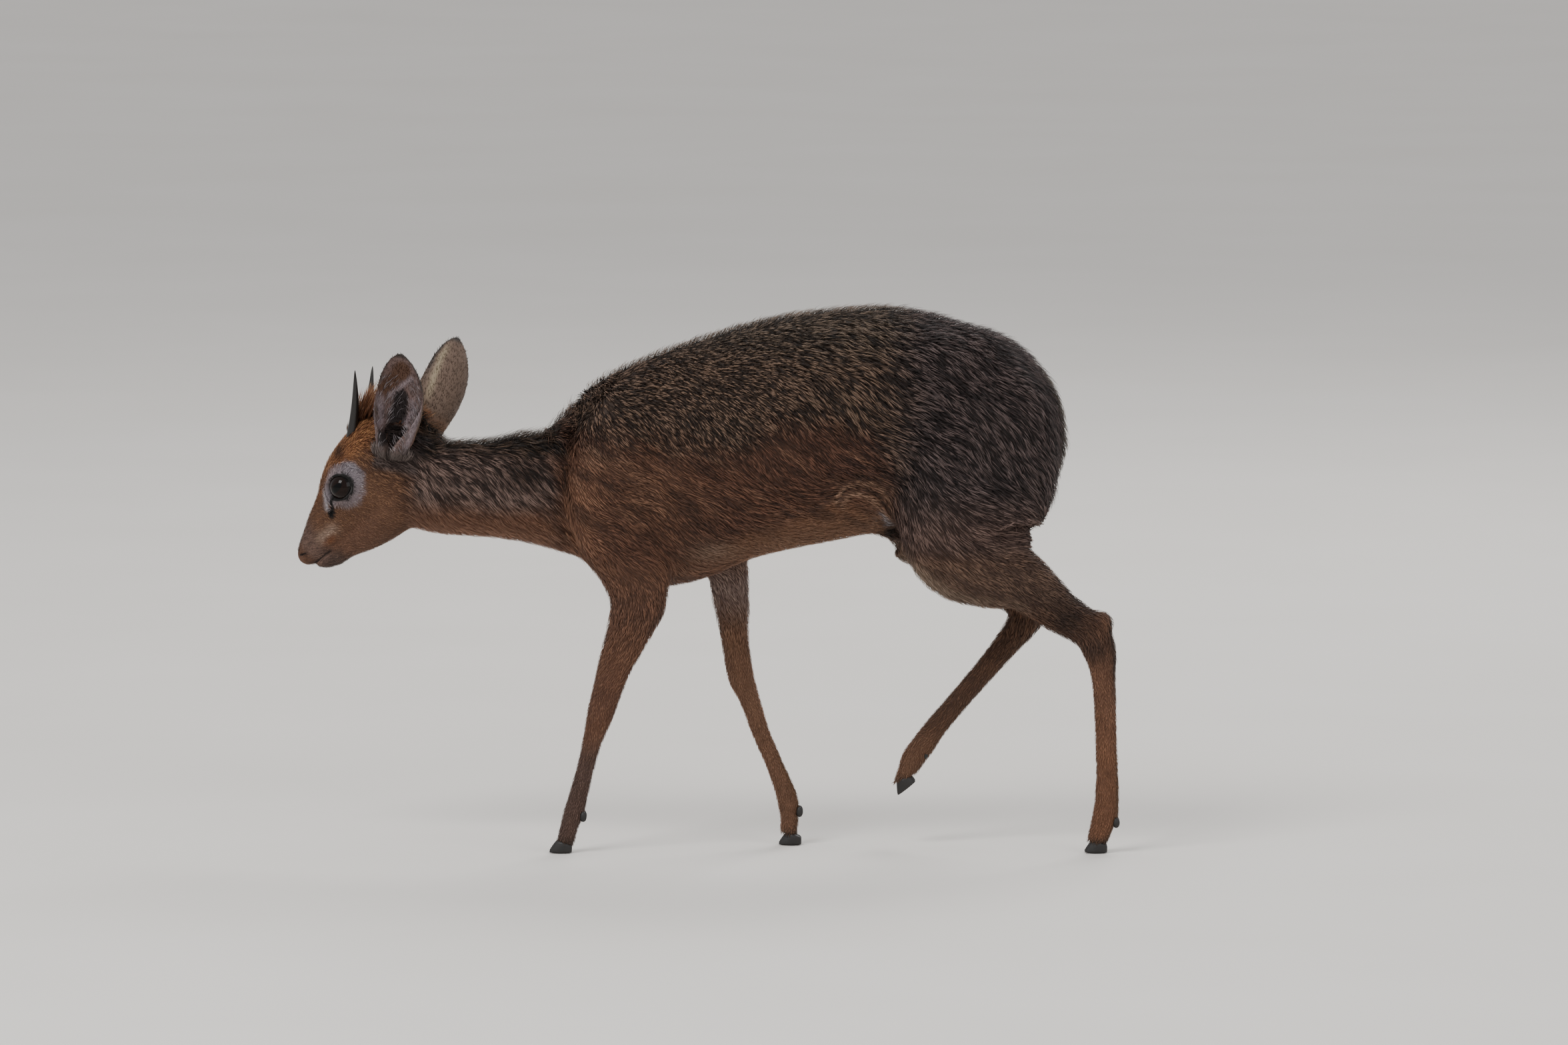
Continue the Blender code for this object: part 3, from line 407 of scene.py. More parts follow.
# lower edges of the grizzled back and of the flank's brown, x and z
saddle = ((-140, 350), (-112, 352), (-99, 349), (-50, 342), (-3, 334), (30, 340), (48, 350), (92, 362), (125, 352),
          (145, 326), (156, 300), (172, 270), (190, 250), (300, 246))
belly = ((-60, 216), (-25, 226), (5, 250), (43, 266), (81, 280), (105, 288), (130, 284), (146, 272), (160, 256),
         (240, 240))
groinLine = ((139.5, 284), (143, 275), (147, 267))
eyeLines = {"strip": ((17, 8), (21.5, 2), (25, -3.5)), "tear": ((12.5, -2.5), (16.5, -3.2), (20, -5.6), (23, -8))}


def layOver(under, over, weight, underTone, overTone):
    w = np.clip(weight, 0, 1)[:, None]
    return under + (tone(underTone) - under) * w, over + (tone(overTone) - over) * w


def paint(p, n):                             # colour at the root and at the tip of the coat
    x, y, z = p.T
    f, u, o = inHead(p)
    side = np.sign(y)
    out = np.abs(o)
    fine = grain(p, 9, 5) - 0.5
    jit = (grain(p, 26, 3) - 0.5) * 22 + fine * 8
    lying = np.stack([(x * 0.83 - z * 0.56) / 26, (x * 0.56 + z * 0.83) / 6, y / 22], 1)
    streak = grain(lying, 1, 7) - 0.5
    under = np.tile(tone("332018"), (len(p), 1))
    over = np.tile(tone("7d5542"), (len(p), 1))

    def lay(weight, underTone, overTone):
        nonlocal under, over
        under, over = layOver(under, over, weight, underTone, overTone)

    trunk = ramp(x, -140, -108)
    # flank, shoulder and chest
    lay(trunk * bump(x, -45, 60) * bump(z, 300, 50), "412a20", "90674e")
    lay(trunk * bump(x, -112, 30) * ramp(-z, -345, -310), "5d3a2a", "ad8063")
    lay(trunk * bump(x, 70, 60) * bump(z, 292, 26), "322018", "7f5641")
    lay(ramp(x, 90, 120) * ramp(-x, -160, -140) * ramp(z, 290, 312), "2c1b16", "75503f")
    edge = np.interp(x, *zip(*belly)) + jit * 0.35
    # a paler belly and underside, painted darker as the shade under the body
    lay(ramp(edge - z, -9, 7) * ramp(x, -75, -35), "573826", "8d6449")
    lay(ramp(-n[:, 2], 0.35, 0.85) * (z > 205) * ramp(x, -60, -20), "6e4d3a", "9b765b")
    lay(bump(x, 0, 26) * bump(z, 250, 15) * ramp(-side * y, -70, -20), "6e5748", "b39a86")
    # the grizzled back and the haunch
    line = np.interp(x, *zip(*saddle)) + jit * 0.5 + streak * 26
    lay(trunk * ramp(streak, 0.02, 0.3) * ramp(z, 250, 290) * 0.7, "20140f", "5c4032")
    lay(trunk * ramp(-streak, 0.06, 0.32) * ramp(z, 245, 280) * 0.5, "553a2c", "a67c62")
    lay(ramp(z - line, -16, 16) * trunk, "130d0c", "866c5a")
    lay(ramp(z, 395, 428) * trunk, "130e0d", "826e5d")
    rump = ramp(x + jit * 0.5, 132, 176) * ramp(z, 226, 268)
    lay(rump, "161010", "6b5b58")
    lay(rump * ramp(-z, -310, -255), "35241f", "90756a")
    # neck
    neck = (1 - ramp(x + jit * 0.6 + streak * 26, -138, -112)) * ramp(x, -262, -236)
    low = ramp(-z - jit * 0.3, -296, -274)
    lay(neck, "1f1512", "987e73")
    lay(neck * ramp(z, 320, 333), "080504", "54402f")
    lay(neck * low, "54382a", "946b54")
    lay(neck * ramp(-n[:, 2], 0.4, 0.9), "74503d", "b2886f")
    lay(bump(x, -152, 24) * bump(z, 314, 17), "130c0a", "57443a")
    lay(bump(x, -119, 9) * bump(z, 312, 20), "24150f", "6a4836")
    # legs
    leg = ramp(-z, -256, -215)
    lay(leg, "583a2b", "996f55")
    lay(leg * ramp(-z, -130, -80), "63412e", "9b6e52")
    fore = leg * (x < 110) * (y < 0)
    lay(fore * ramp(z, 150, 205), "4a3328", "916750")
    lay(fore * bump(z, 128, 34), "52362a", "8a624b")
    lay(leg * (y > 0) * (x < 100) * ramp(-z, -165, -120), "6f4934", "ad7c5c")
    hind = ramp(-z, -262, -235) * (x > 110)
    lay(hind * ramp(z, 190, 215) * (y < 0), "3a2922", "846856")
    lay(leg * ramp(-n[:, 1] * side, 0.2, 0.75), "624432", "8f6a52")
    lay(leg * bump(x, 292, 44) * bump(z, 196, 30) * (y < 0), "241712", "533d30")
    lay(leg * ramp(n[:, 0], 0.3, 0.9) * (x > 110) * ramp(z, 120, 160), "251812", "5a4133")
    lay(leg * ramp(n[:, 0], 0.4, 0.9) * ramp(-z, -110, -60), "4d3424", "86603f")
    lay(hind * ramp(-n[:, 2] - n[:, 0] * 0.5, 0.35, 0.85) * ramp(z, 195, 225), "75604f", "b5a08c")
    lay(bump(x, 315, 22) * bump(z, 172, 20) * (y < 0), "2c1d16", "64483a")
    lay(leg * ramp(-z, -110, -70) * (x < -60), "45322a", "80655a")
    lay(leg * (y > 0) * (x < 100) * ramp(z, 175, 215), "66504a", "a48e82")
    lay(leg * (y > 0) * (x > 130) * ramp(z, 70, 110), "3c281e", "7a5842")
    for footX in (-118, 66, 320):
        lay(leg * bump(x, footX, 24) * ramp(-z, -17, -9), "2c2019", "5a4333")
    lay(leg * bump(x, 163, 16) * ramp(-z, -62, -52), "2c2019", "5a4333")
    lay(bump(awayFrom(x, z, groinLine), 0, 2.8) * (np.abs(y) > 16), "8b8284", "c9c2c4")
    # painted shade in the gap between the thighs at the groin
    lay(bump(x, 147, 9) * bump(z, 262, 8) * (np.abs(y) < 14), "0e0b0a", "1d1714")
    # painted highlight on the flank folds and painted shade in the furrows
    high, low = foldShape(p)
    lay(high * 0.85, "745542", "b8947a")
    lay(low * 0.8, "1d1310", "3f2a20")
    # tail and its pale underside
    lay((np.abs(y) < 14) * ramp(x, 262, 276) * ramp(z, 300, 315), "1d1613", "6a5c50")
    # head
    head = 1 - ramp(x, -258, -240)
    lay(head, "523729", "966e51")
    lay(head * ramp(f, -30, 12) * ramp(-u, 20, 34), "583d2e", "8f6852")
    lay(head * ramp(u, 4, 18) * ramp(-f, -30, 10), "6a3f28", "b98457")
    lay(head * ramp(u, 2, 12) * ramp(f, 8, 26), "623a28", "ad784e")
    lay(head * ramp(-f, 38, 58) * ramp(-u, -24, 10), "241610", "866958")
    lay(head * ramp(f, 40, 56), "463530", "8d7062")
    lay(head * ramp(f, 34, 50) * ramp(-u, 31, 37), "3a2d28", "6d564a")
    whisker = ramp(f, 22, 36) * ramp(-f, -56, -46) * bump(u, -21 + f * 0.06, 7)
    lay(head * whisker * (out > 4), "6a5346", "c0a590")
    lay(head * bump(f, 42, 9) * bump(u, -24, 4) * (out > 4), "5a3423", "96623f")
    lay(head * ramp(f, 62, 70), "3c2a22", "73503c")
    lay(head * bump(f, -14, 8) * bump(u, 24, 8) * (out > 12), "2a1a12", "5c3a24")
    # pale ring, dark lids, tear line and gland
    onSide = head * (out > 9)
    away, turn = np.hypot(f, u), np.degrees(np.arctan2(u, f))
    ring = np.interp(turn, eyeLook["ringAngle"], eyeLook["ringReach"])
    pale = np.interp(turn, eyeLook["ringAngle"], eyeLook["ringPale"])
    lay(onSide * ramp(ring + fine * 4 - away, -1.5, 2.5) * pale, "6f656b", "afa6ab")
    lay(onSide * bump(awayFrom(f, u, eyeLines["strip"]), 0, 3.2), "9a9296", "dcd5da")
    lid = away / (lidReach(np.radians(turn)) + 1.6)
    lay(onSide * ramp(1.02 - lid, 0, 0.08), "0a0807", "141010")
    lay(onSide * ramp(2.1 - awayFrom(f, u, eyeLines["tear"]), 0, 1.2), "080606", "110d0c")
    pit = np.hypot((f - 24) / 5.2, (u + 8.6 + (f - 24) * 0.3) / 3.9)
    lay(onSide * ramp(1.1 - pit, 0, 0.3), "080606", "100c0b")
    # painted shadow along the mouth line and in the nostrils, and painted shade at the roots of the ears, where the
    # head shows inside each ear's cup
    half = 1.3 + 0.9 * ramp(-f, -58, -46)
    lay(head * bump(u, mouthLine(f), half) * ramp(f, 46, 51), "15100e", "2a2220")
    # painted shade in the nostril openings
    spot = np.hypot((f - 69.5) / 3.4, (u + 17.5 - (f - 69.5) * 0.45) / 1.3)
    lay(head * (out > 3) * ramp(1.2 - spot, 0, 0.5), "100b09", "1c1411")
    for name in ("left", "right"):
        root, along, facing, across, _ = earFrame(name)
        h, s, c = (p - root) @ along, (p - root) @ across, (p - root) @ facing
        cup = ramp(20 - np.abs(s), 0, 4) * ramp(c, -17, -12) * ramp(30 - c, 0, 8) * (h < 60)
        # painted shade: the head's hair inside each ear cup is darkened to read as the cup's dark hollow
        lay(cup * ramp(h, -16, -7), "2c211e", "6a5b56")
        lay(cup * ramp(h, 2, 9), "150d0b", "3a2c28")
    return under, over


def lieField():                              # points that say which way the coat lies
    rows = []
    flank = (   # x, z and the angle below the line to the tail
        (-102, 366, 62), (-64, 392, 30), (0, 418, 24), (62, 438, 24), (125, 444, 24), (190, 434, 32), (240, 414, 42),
        (268, 388, 56), (286, 350, 74), (284, 312, 84), (-92, 338, 46), (-50, 350, 40), (0, 358, 40), (60, 368, 38),
        (120, 372, 36), (180, 372, 34), (230, 362, 38), (262, 336, 50), (-84, 300, 34), (-40, 300, 24), (0, 300, 34),
        (60, 312, 38), (120, 318, 30), (170, 318, 38), (215, 312, 40), (252, 300, 42), (-92, 262, 42), (-52, 246, 34),
        (0, 252, 24), (60, 268, 18), (104, 292, 0), (128, 302, 20), (150, 290, 62), (160, 268, 66), (190, 278, 42),
        (225, 268, 14), (252, 258, 6), (200, 250, 24), (-128, 330, 42), (-158, 318, 52), (-190, 312, 54),
        (-222, 308, 54), (-130, 268, 32), (-158, 266, 30), (-190, 266, 30), (-222, 272, 36), (-135, 350, 20),
        (-170, 338, 26), (-210, 336, 24))
    for x, z, angle in flank:
        a = math.radians(angle)
        for y in (-48, 48) if x > -120 else (-24, 24):
            rows.append((x, y, z, math.cos(a), 0, -math.sin(a)))
    for x, z in ((0, 226), (60, 248), (125, 258), (-60, 220)):
        rows.append((x, 0, z, 1, 0, -0.05))
    for x, z in ((-122, 300), (-112, 262)):
        rows.append((x, 0, z, 0.35, 0, -0.9))
    for name, line in legLines.items():
        y = -28 if name.endswith("Near") else 26
        for (xa, za), (xb, zb) in zip(line, line[1:]):
            size = math.hypot(xb - xa, zb - za)
            rows.append(((xa + xb) / 2, y, (za + zb) / 2, (xb - xa) / size, 0, (zb - za) / size))
    return np.array(rows)


liePoints = lieField()


def lieOf(p, n):                             # unit directions on the skin
    d = np.zeros_like(p)
    for start in range(0, len(p), 20000):
        block = p[start:start + 20000]
        gap = ((block[:, None, :] - liePoints[None, :, :3]) ** 2).sum(2)
        w = 1 / (gap + 60) ** 2
        d[start:start + 20000] = (w @ liePoints[:, 3:]) / w.sum(1)[:, None]
    d = unit(d)
    f, u, o = inHead(p)
    onHead = 1 - ramp(p[:, 0], -262, -232)
    side = np.sign(o)
    top = ramp(u - np.abs(o) * 0.5, -6, 14)
    face = headAhead * -1
    cheek = -0.45 * headAhead[None] - 0.85 * headUp[None] + 0.1 * side[:, None] * headRight[None]
    d2 = unit(cheek * (1 - top)[:, None] + face[None] * top[:, None])
    snout = ramp(f, 20, 45)
    d2 = unit(d2 * (1 - snout)[:, None] + (-0.9 * headAhead - 0.35 * headUp)[None] * snout[:, None])
    d = d * (1 - onHead)[:, None] + d2 * onHead[:, None]
    nearEye = onHead * ramp(21 - np.hypot(f, u), 0, 7) * (np.abs(o) > 9)
    outward = unit(np.multiply.outer(f, headAhead) + np.multiply.outer(u, headUp))
    d = unit(d * (1 - nearEye)[:, None] + outward * nearEye[:, None])
    sway = (grain(p, 26, 11) - 0.5) * 0.75 + (grain(p, 9, 12) - 0.5) * 0.35
    d = d - n * (d * n).sum(1)[:, None]
    d = unit(d)
    across = np.cross(n, d)
    return unit(d + across * (sway * (1 - 0.6 * onHead))[:, None])


# the coat: closed three-sided tufts, joined into a few meshes

coatLook = {
    "tufts": 138000, "seed": 20, "bakePatch": 0.003,
    "limit": 19000,                          # tufts in one piece
    # length, half width, height of the tip, pull into locks, tufts for each square millimetre,
    # lock width, lock length, contrast from lock to lock and from tuft to tuft
    "flank": (9.5, 0.4, 2.3, 0.35, 0.48, 1.4, 9, 0.6, 0.7),
    "shoulder": (9, 0.42, 2.1, 0.35, 0.48, 1.6, 9, 0.5, 0.6),
    "saddle": (8, 0.44, 4.0, 0.35, 0.52, 1.5, 4.0, 1.3, 1.0),
    "back": (11.5, 0.44, 4.3, 0.45, 0.48, 1.6, 6.5, 1.15, 0.95),
    "rump": (12, 0.42, 4.1, 0.4, 0.5, 1.4, 8.5, 0.9, 0.9),
    "haunch": (10.5, 0.4, 2.7, 0.4, 0.5, 1.4, 10, 0.8, 0.75),
    "belly": (7, 0.38, 1.4, 0.15, 0.5, 1.8, 9, 0.2, 0.35),
    "neck": (11, 0.28, 3.0, 0.45, 1.05, 1.0, 9, 1.3, 1.2),
    "nape": (14, 0.36, 6.5, 0.35, 0.95, 1.3, 7, 0.9, 1.1),
    "throat": (7, 0.34, 1.5, 0.15, 0.8, 1.8, 9, 0.3, 0.5),
    "thigh": (7.5, 0.4, 1.6, 0.3, 0.62, 2.0, 12, 0.5, 0.5),
    "leg": (4.6, 0.32, 0.85, 0.12, 0.95, 1.4, 7, 0.35, 0.5),
    "foot": (4.0, 0.28, 0.8, 0.1, 1.1, 1.3, 5, 0.3, 0.5),
    "poll": (7, 0.36, 2.4, 0.3, 1.1, 1.6, 8, 0.9, 0.9),
    "brow": (4.6, 0.28, 1.1, 0.2, 1.3, 1.3, 6, 0.6, 0.8),
    "cheek": (3.8, 0.26, 0.8, 0.12, 1.4, 1.2, 6, 0.4, 0.7),
    "muzzle": (3.4, 0.2, 0.7, 0.1, 1.7, 1.0, 4, 0.7, 1.1),
    "lids": (2.8, 0.2, 0.8, 0.05, 2.0, 0.8, 3, 0.6, 1.1),
}


def coatSizes(p):                            # one column for each value above
    x, _, z = p.T
    f, u, o = inHead(p)
    sizes = np.tile(np.array(coatLook["flank"], float), (len(p), 1))

    def lay(weight, style):
        nonlocal sizes
        w = np.clip(weight, 0, 1)[:, None]
        sizes = sizes + (np.array(coatLook[style]) - sizes) * w

    trunk = ramp(x, -140, -108)
    lay(trunk * ramp(-x, 10, 50), "shoulder")
    line = np.interp(x, *zip(*saddle))
    lay(trunk * ramp(z - line, -14, 8), "saddle")
    lay(ramp(x, 40, 120) * ramp(z - line, -14, 8), "back")
    lay(ramp(x, 190, 240) * ramp(z, 250, 300), "rump")
    lay(ramp(x, 140, 165) * ramp(-z, -318, -280), "haunch")
    edge = np.interp(x, *zip(*belly))
    lay(ramp(edge - z, -10, 4) * ramp(x, -70, -30) * ramp(-x, -158, -142), "belly")
    lay(1 - trunk, "neck")
    lay((1 - ramp(x, -118, -95)) * ramp(z, 324, 338), "nape")
    lay((1 - trunk) * ramp(-z, -296, -272), "throat")
    lay(ramp(-z, -280, -222), "thigh")
    lay(ramp(-z, -200, -140), "leg")
    lay(ramp(-z, -70, -25), "foot")
    head = 1 - ramp(x, -262, -238)
    lay(head, "brow")
    lay(head * ramp(-f, 22, 40) * ramp(u, -26, -4), "poll")
    lay(head * ramp(-u, -4, 10) * ramp(f, -34, -14), "cheek")
    lay(head * ramp(f, 18, 40), "muzzle")
    lay(head * (np.abs(o) > 9) * ramp(17 - np.hypot(f, u), 0, 3), "lids")
    sizes[:, 4] = np.where((head > 0.5) & (f > 73), 0.0, sizes[:, 4])
    return sizes


def plainMesh(name, verts, loops, starts):
    mesh = bpy.data.meshes.new(name)
    mesh.vertices.add(len(verts))
    mesh.vertices.foreach_set("co", (verts * mm).astype(np.float32).ravel())
    mesh.loops.add(len(loops))
    mesh.loops.foreach_set("vertex_index", loops.astype(np.int32))
    mesh.polygons.add(len(starts))
    mesh.polygons.foreach_set("loop_start", starts.astype(np.int32))
    mesh.polygons.foreach_set("use_smooth", np.full(len(starts), True))
    mesh.update(calc_edges=True)
    return mesh


def tuftMesh(name, spine, up, widths, thick, colours, spots):
    # spine is tufts by stations by 3 and so are the colours; the last station is the tip
    count, stations = spine.shape[:2]
    along = unit(spine[:, -1] - spine[:, 0])
    up = unit(up - along * (up * along).sum(1)[:, None])
    side = np.cross(up, along)
    rings = stations - 1
    t = np.arange(rings) / rings
    taper = np.interp(t, (0, 0.35, 0.7, 1), (0.75, 1.0, 0.62, 0.0))
    verts = np.empty((count, rings * 3 + 1, 3))
    for k in range(rings):
        w, h = (widths * taper[k])[:, None], (thick * taper[k])[:, None]
        verts[:, k * 3] = spine[:, k] + side * w
        verts[:, k * 3 + 1] = spine[:, k] + up * h
        verts[:, k * 3 + 2] = spine[:, k] - side * w
    verts[:, -1] = spine[:, -1]
    faces, strand = [], []
    across = (0.0, 0.5, 1.0)
    for k in range(rings - 1):
        for c in range(3):
            d = (c + 1) % 3
            faces.append((k * 3 + c, k * 3 + d, (k + 1) * 3 + d, (k + 1) * 3 + c))
            strand.append([(across[c], k), (across[d], k), (across[d], k + 1), (across[c], k + 1)])
    last = rings - 1
    for c in range(3):
        d = (c + 1) % 3
        faces.append((last * 3 + c, last * 3 + d, rings * 3))
        strand.append([(across[c], last), (across[d], last), (0.5, rings)])
    faces.append((2, 1, 0))
    strand.append([(1.0, 0), (0.5, 0), (0.0, 0)])
    one = np.array([v for face in faces for v in face])
    sizes = np.array([len(face) for face in faces])
    uv = np.array([(a, b / rings) for face in strand for a, b in face])
    step = rings * 3 + 1
    loops = (one[None] + np.arange(count)[:, None] * step).ravel()
    first = np.cumsum(sizes) - sizes
    starts = (first[None] + np.arange(count)[:, None] * sizes.sum()).ravel()
    mesh = plainMesh(name, verts.reshape(-1, 3), loops, starts)
    strandMap = mesh.uv_layers.new(name="strand")
    strandMap.data.foreach_set("uv", np.tile(uv, (count, 1)).astype(np.float32).ravel())
    bake = mesh.uv_layers.new(name="OFBake")
    patch = (uv - 0.5)[None] * coatLook["bakePatch"] + spots[:, None]
    bake.data.foreach_set("uv", np.clip(patch, 0, 1).astype(np.float32).ravel())
    mesh.uv_layers.active = bake
    setTint(mesh, np.repeat(colours, [3] * rings + [1], axis=1).reshape(-1, 3))
    return mesh


def ground(tree, points):                    # nearest places on the skin
    places, faces = np.empty_like(points), np.empty(len(points), np.int64)
    for k, q in enumerate(points.tolist()):
        places[k], _, faces[k], _ = tree.find_nearest(q)
    return places, faces


def softNormals(places, faces, corners, tris, normals):
    a, b, c = (corners[tris[faces, k]] for k in range(3))
    w = barycentric(places, a, b, c)
    return unit(sum(normals[tris[faces, k]] * w[:, k:k + 1] for k in range(3)))


def barycentric(p, a, b, c):
    v0, v1, v2 = b - a, c - a, p - a
    d00, d01, d11 = (v0 * v0).sum(1), (v0 * v1).sum(1), (v1 * v1).sum(1)
    d20, d21 = (v2 * v0).sum(1), (v2 * v1).sum(1)
    under = np.maximum(d00 * d11 - d01 * d01, 1e-12)
    v = (d11 * d20 - d01 * d21) / under
    w = (d00 * d21 - d01 * d20) / under
    return np.clip(np.stack([1 - v - w, v, w], 1), 0, 1)


def makeUnwrap(skin):                        # a plain copy of the skin, laid flat, for the OFBake map
    flat = shown("flat", skin.data.copy())
    thin = flat.modifiers.new("thin", "DECIMATE")
    thin.ratio = 6000 / len(skin.data.polygons)
    applyAll(flat)
    flat.data.uv_layers.new(name="OFBake")
    inEdit(flat, (bpy.ops.uv.smart_project, {"angle_limit": math.radians(66), "island_margin": 0.006}))
    mesh = flat.data
    corners, tris = pointsOf(mesh), trianglesOf(mesh)
    flatUv = np.empty(len(mesh.loops) * 2, np.float32)
    mesh.uv_layers["OFBake"].data.foreach_get("uv", flatUv)
    flatUv = flatUv.reshape(-1, 2)
    loopTris = np.empty(len(mesh.loop_triangles) * 3, np.int32)
    mesh.loop_triangles.foreach_get("loops", loopTris)
    triUv = flatUv[loopTris.reshape(-1, 3)]
    tree = BVHTree.FromPolygons(corners.tolist(), tris.tolist())
    bpy.data.objects.remove(flat)
    return {"tree": tree, "corners": corners, "tris": tris, "uv": triUv}


def spotsOn(unwrap, points):
    places, faces = ground(unwrap["tree"], points)
    a, b, c = (unwrap["corners"][unwrap["tris"][faces, k]] for k in range(3))
    w = barycentric(places, a, b, c)
    return (unwrap["uv"][faces] * w[:, :, None]).sum(1)


def scatter(rng, chosen, corners, tris, normals):   # a place on each chosen triangle, and its normal
    r1, r2 = np.sqrt(rng.random(len(chosen))), rng.random(len(chosen))
    w = np.stack([1 - r1, r1 * (1 - r2), r1 * r2], 1)
    roots = sum(corners[tris[chosen, k]] * w[:, k:k + 1] for k in range(3))
    return roots, unit(sum(normals[tris[chosen, k]] * w[:, k:k + 1] for k in range(3)))


def areasOf(corners, tris):
    a, b, c = (corners[tris[:, k]] for k in range(3))
    return np.linalg.norm(np.cross(b - a, c - a), axis=1) / 2, (a + b + c) / 3


def coatTones(p, n, light, own):
    under, over = paint(p, n)
    root = under * (0.5 + 0.2 * own)[:, None]
    middle = under + (over - under) * (0.05 + 0.62 * light)[:, None]
    tip = under * 0.9 + (over - under) * (0.06 + 1.12 * light)[:, None]
    return np.stack([root, middle, tip], 1)


def shareLocks(roots, d, sizes, density, rng):
    # each tuft joins the lock whose long, narrow patch it lies in: its leader, and how far off its line it is
    count = len(roots)
    wide, long = sizes[:, 5], sizes[:, 6]
    leads = np.nonzero(rng.random(count) < 1 / np.maximum(density * wide * long, 2))[0]
    tree = KDTree(len(leads))
    for slot, k in enumerate(leads):
        tree.insert(roots[k], slot)
    tree.balance()
    near = np.array([[hit[1] for hit in tree.find_n(q, 9)] for q in roots.tolist()])
    lead = leads[near]
    rel = roots[:, None] - roots[lead]
    along = (rel * d[lead]).sum(2)
    off = rel - d[lead] * along[:, :, None]
    across = np.linalg.norm(off, axis=2)
    cost = (along / long[lead]) ** 2 + (across / wide[lead]) ** 2
    best = cost.argmin(1)
    rows = np.arange(count)
    return lead[rows, best], across[rows, best] / wide


def makeCoat(skin, unwrap):
    rng = np.random.default_rng(coatLook["seed"])
    corners, tris, normals = pointsOf(skin.data), trianglesOf(skin.data), normalsOf(skin.data)
    tree = BVHTree.FromPolygons(corners.tolist(), tris.tolist())
    area, middle = areasOf(corners, tris)
    crowd = coatSizes(middle)[:, 4]
    for s in (-1, 1):                        # none on the eyeball
        centre, axis, along, rise = eyeFrame(s)
        r = middle - centre
        l, h = r @ along, r @ rise
        across = np.hypot(l, h) / lidReach(np.arctan2(h, l))
        crowd = np.where((r @ axis > 2) & (np.linalg.norm(r, axis=1) < 20) & (across < 1.1), 0, crowd)
    crowd = np.where((middle[:, 2] < 14) & (normals[tris[:, 0], 2] < -0.6), 0, crowd)
    share = np.cumsum(area * crowd)
    count = coatLook["tufts"]
    at = (np.arange(count) + rng.random(count)) / count * share[-1]
    chosen = np.clip(np.searchsorted(share, at), 0, len(tris) - 1)
    roots, n = scatter(rng, chosen, corners, tris, normals)
    sizes = coatSizes(roots)
    d = lieOf(roots, n)
    density = sizes[:, 4] * count / share[-1]
    lead, across = shareLocks(roots, d, sizes, density, rng)
    # wider, longer locks: tufts near the partings between them lie lower and get painted shade below
    waves = sizes.copy()
    waves[:, 5] *= 2.1
    waves[:, 6] *= 1.9
    waveLead, waveAcross = shareLocks(roots, d, waves, density, rng)
    wave = rng.random(count)[waveLead] - 0.5
    furrow = ramp(waveAcross, 0.45, 0.95) * ramp(sizes[:, 0], 7, 10)
    length, width, lift, pull = sizes[:, :4].T
    d = unit(d + np.cross(n, d) * rng.normal(0, 0.1, count)[:, None])
    length = length * rng.uniform(0.75, 1.2, count)
    width = width * rng.uniform(0.7, 1.3, count)
    # tips draw in to the middle line of their lock, which stands a little higher there
    free = roots + d * length[:, None]
    rel = free - roots[lead]
    onLine = roots[lead] + d[lead] * (rel * d[lead]).sum(1)[:, None]
    near = np.linalg.norm(onLine - free, axis=1) < 6
    tips = free + (onLine - free) * (pull * near)[:, None]
    lockHeight = rng.random(count)[lead]
    lift = lift * rng.uniform(0.6, 1.25, count) * (0.75 + 0.5 * lockHeight) * (1.15 - 0.5 * np.clip(across, 0, 1)) \
        * (1.1 - 0.45 * furrow)
    g1, f1 = ground(tree, roots + d * (length * 0.46)[:, None])
    n1 = softNormals(g1, f1, corners, tris, normals)
    g2, f2 = ground(tree, tips)
    n2 = softNormals(g2, f2, corners, tris, normals)
    turned = (n2 * n).sum(1) < 0.1           # tips that would cross to another limb
    g2[turned] = (g1 + (g1 - roots) * 0.8)[turned]
    n2[turned] = n1[turned]
    atHoof = (roots[:, 2] < 24) | ((roots[:, 1] > 0) & (roots[:, 2] < 74) & (np.abs(roots[:, 0] - 166) < 22))
    g2[atHoof] = (roots + d * length[:, None])[atHoof]
    n2[atHoof] = n[atHoof]
    spine = np.stack([roots - n * 0.5, g1 + n1 * (lift * 0.72)[:, None], g2 + n2 * lift[:, None]], 1)
    own = rng.random(count)
    shared = ramp(rng.random(count)[lead], 0.2, 0.8)
    # painted shade: tufts at the edge of their lock and in the partings between the wider locks are made darker
    light = 0.5 + (shared - 0.5) * sizes[:, 7] + (own - 0.5) * sizes[:, 8] \
        - 0.3 * np.clip(across - 0.35, 0, 1) * sizes[:, 7] + (wave * 0.3 - 0.35 * furrow) * np.minimum(sizes[:, 7], 1)
    tones = coatTones(roots, n, np.clip(light, 0, 1.15), own)
    spots = spotsOn(unwrap, roots)
    print("coat: tufts placed", count)
    x, y, z = roots.T
    zone = np.select(
        [x < -246, x < -122, z < 226, (x > 262) & (np.abs(y) < 14) & (z < 372) & (z > 296),
         (y < 0) & (x < 70), (y >= 0) & (x < 70), (y < 0)],
        [0, 1, 2, 3, 4, 5, 6], 7)
    names = ("coatHead", "coatNeck", "coatLegs", "coatTail", "coatLeftFront", "coatRightFront", "coatLeftRear",
             "coatRightRear")
    made = []
    for place, name in enumerate(names):
        here = np.nonzero(zone == place)[0]
        here = here[np.argsort(x[here], kind="stable")]
        parts = max(1, math.ceil(len(here) / coatLook["limit"]))
        for part, some in enumerate(np.array_split(here, parts)):
            label = name if parts == 1 else f"{name}{part + 1}"
            mesh = tuftMesh(label, spine[some], n1[some], width[some], width[some] * 0.4, tones[some], spots[some])
            made.append(asPiece(shown(label, mesh)))
            print("  ", label, len(some))
    return made, tree, (corners, tris, normals)


# the crest on the crown, and the long hair behind the ears

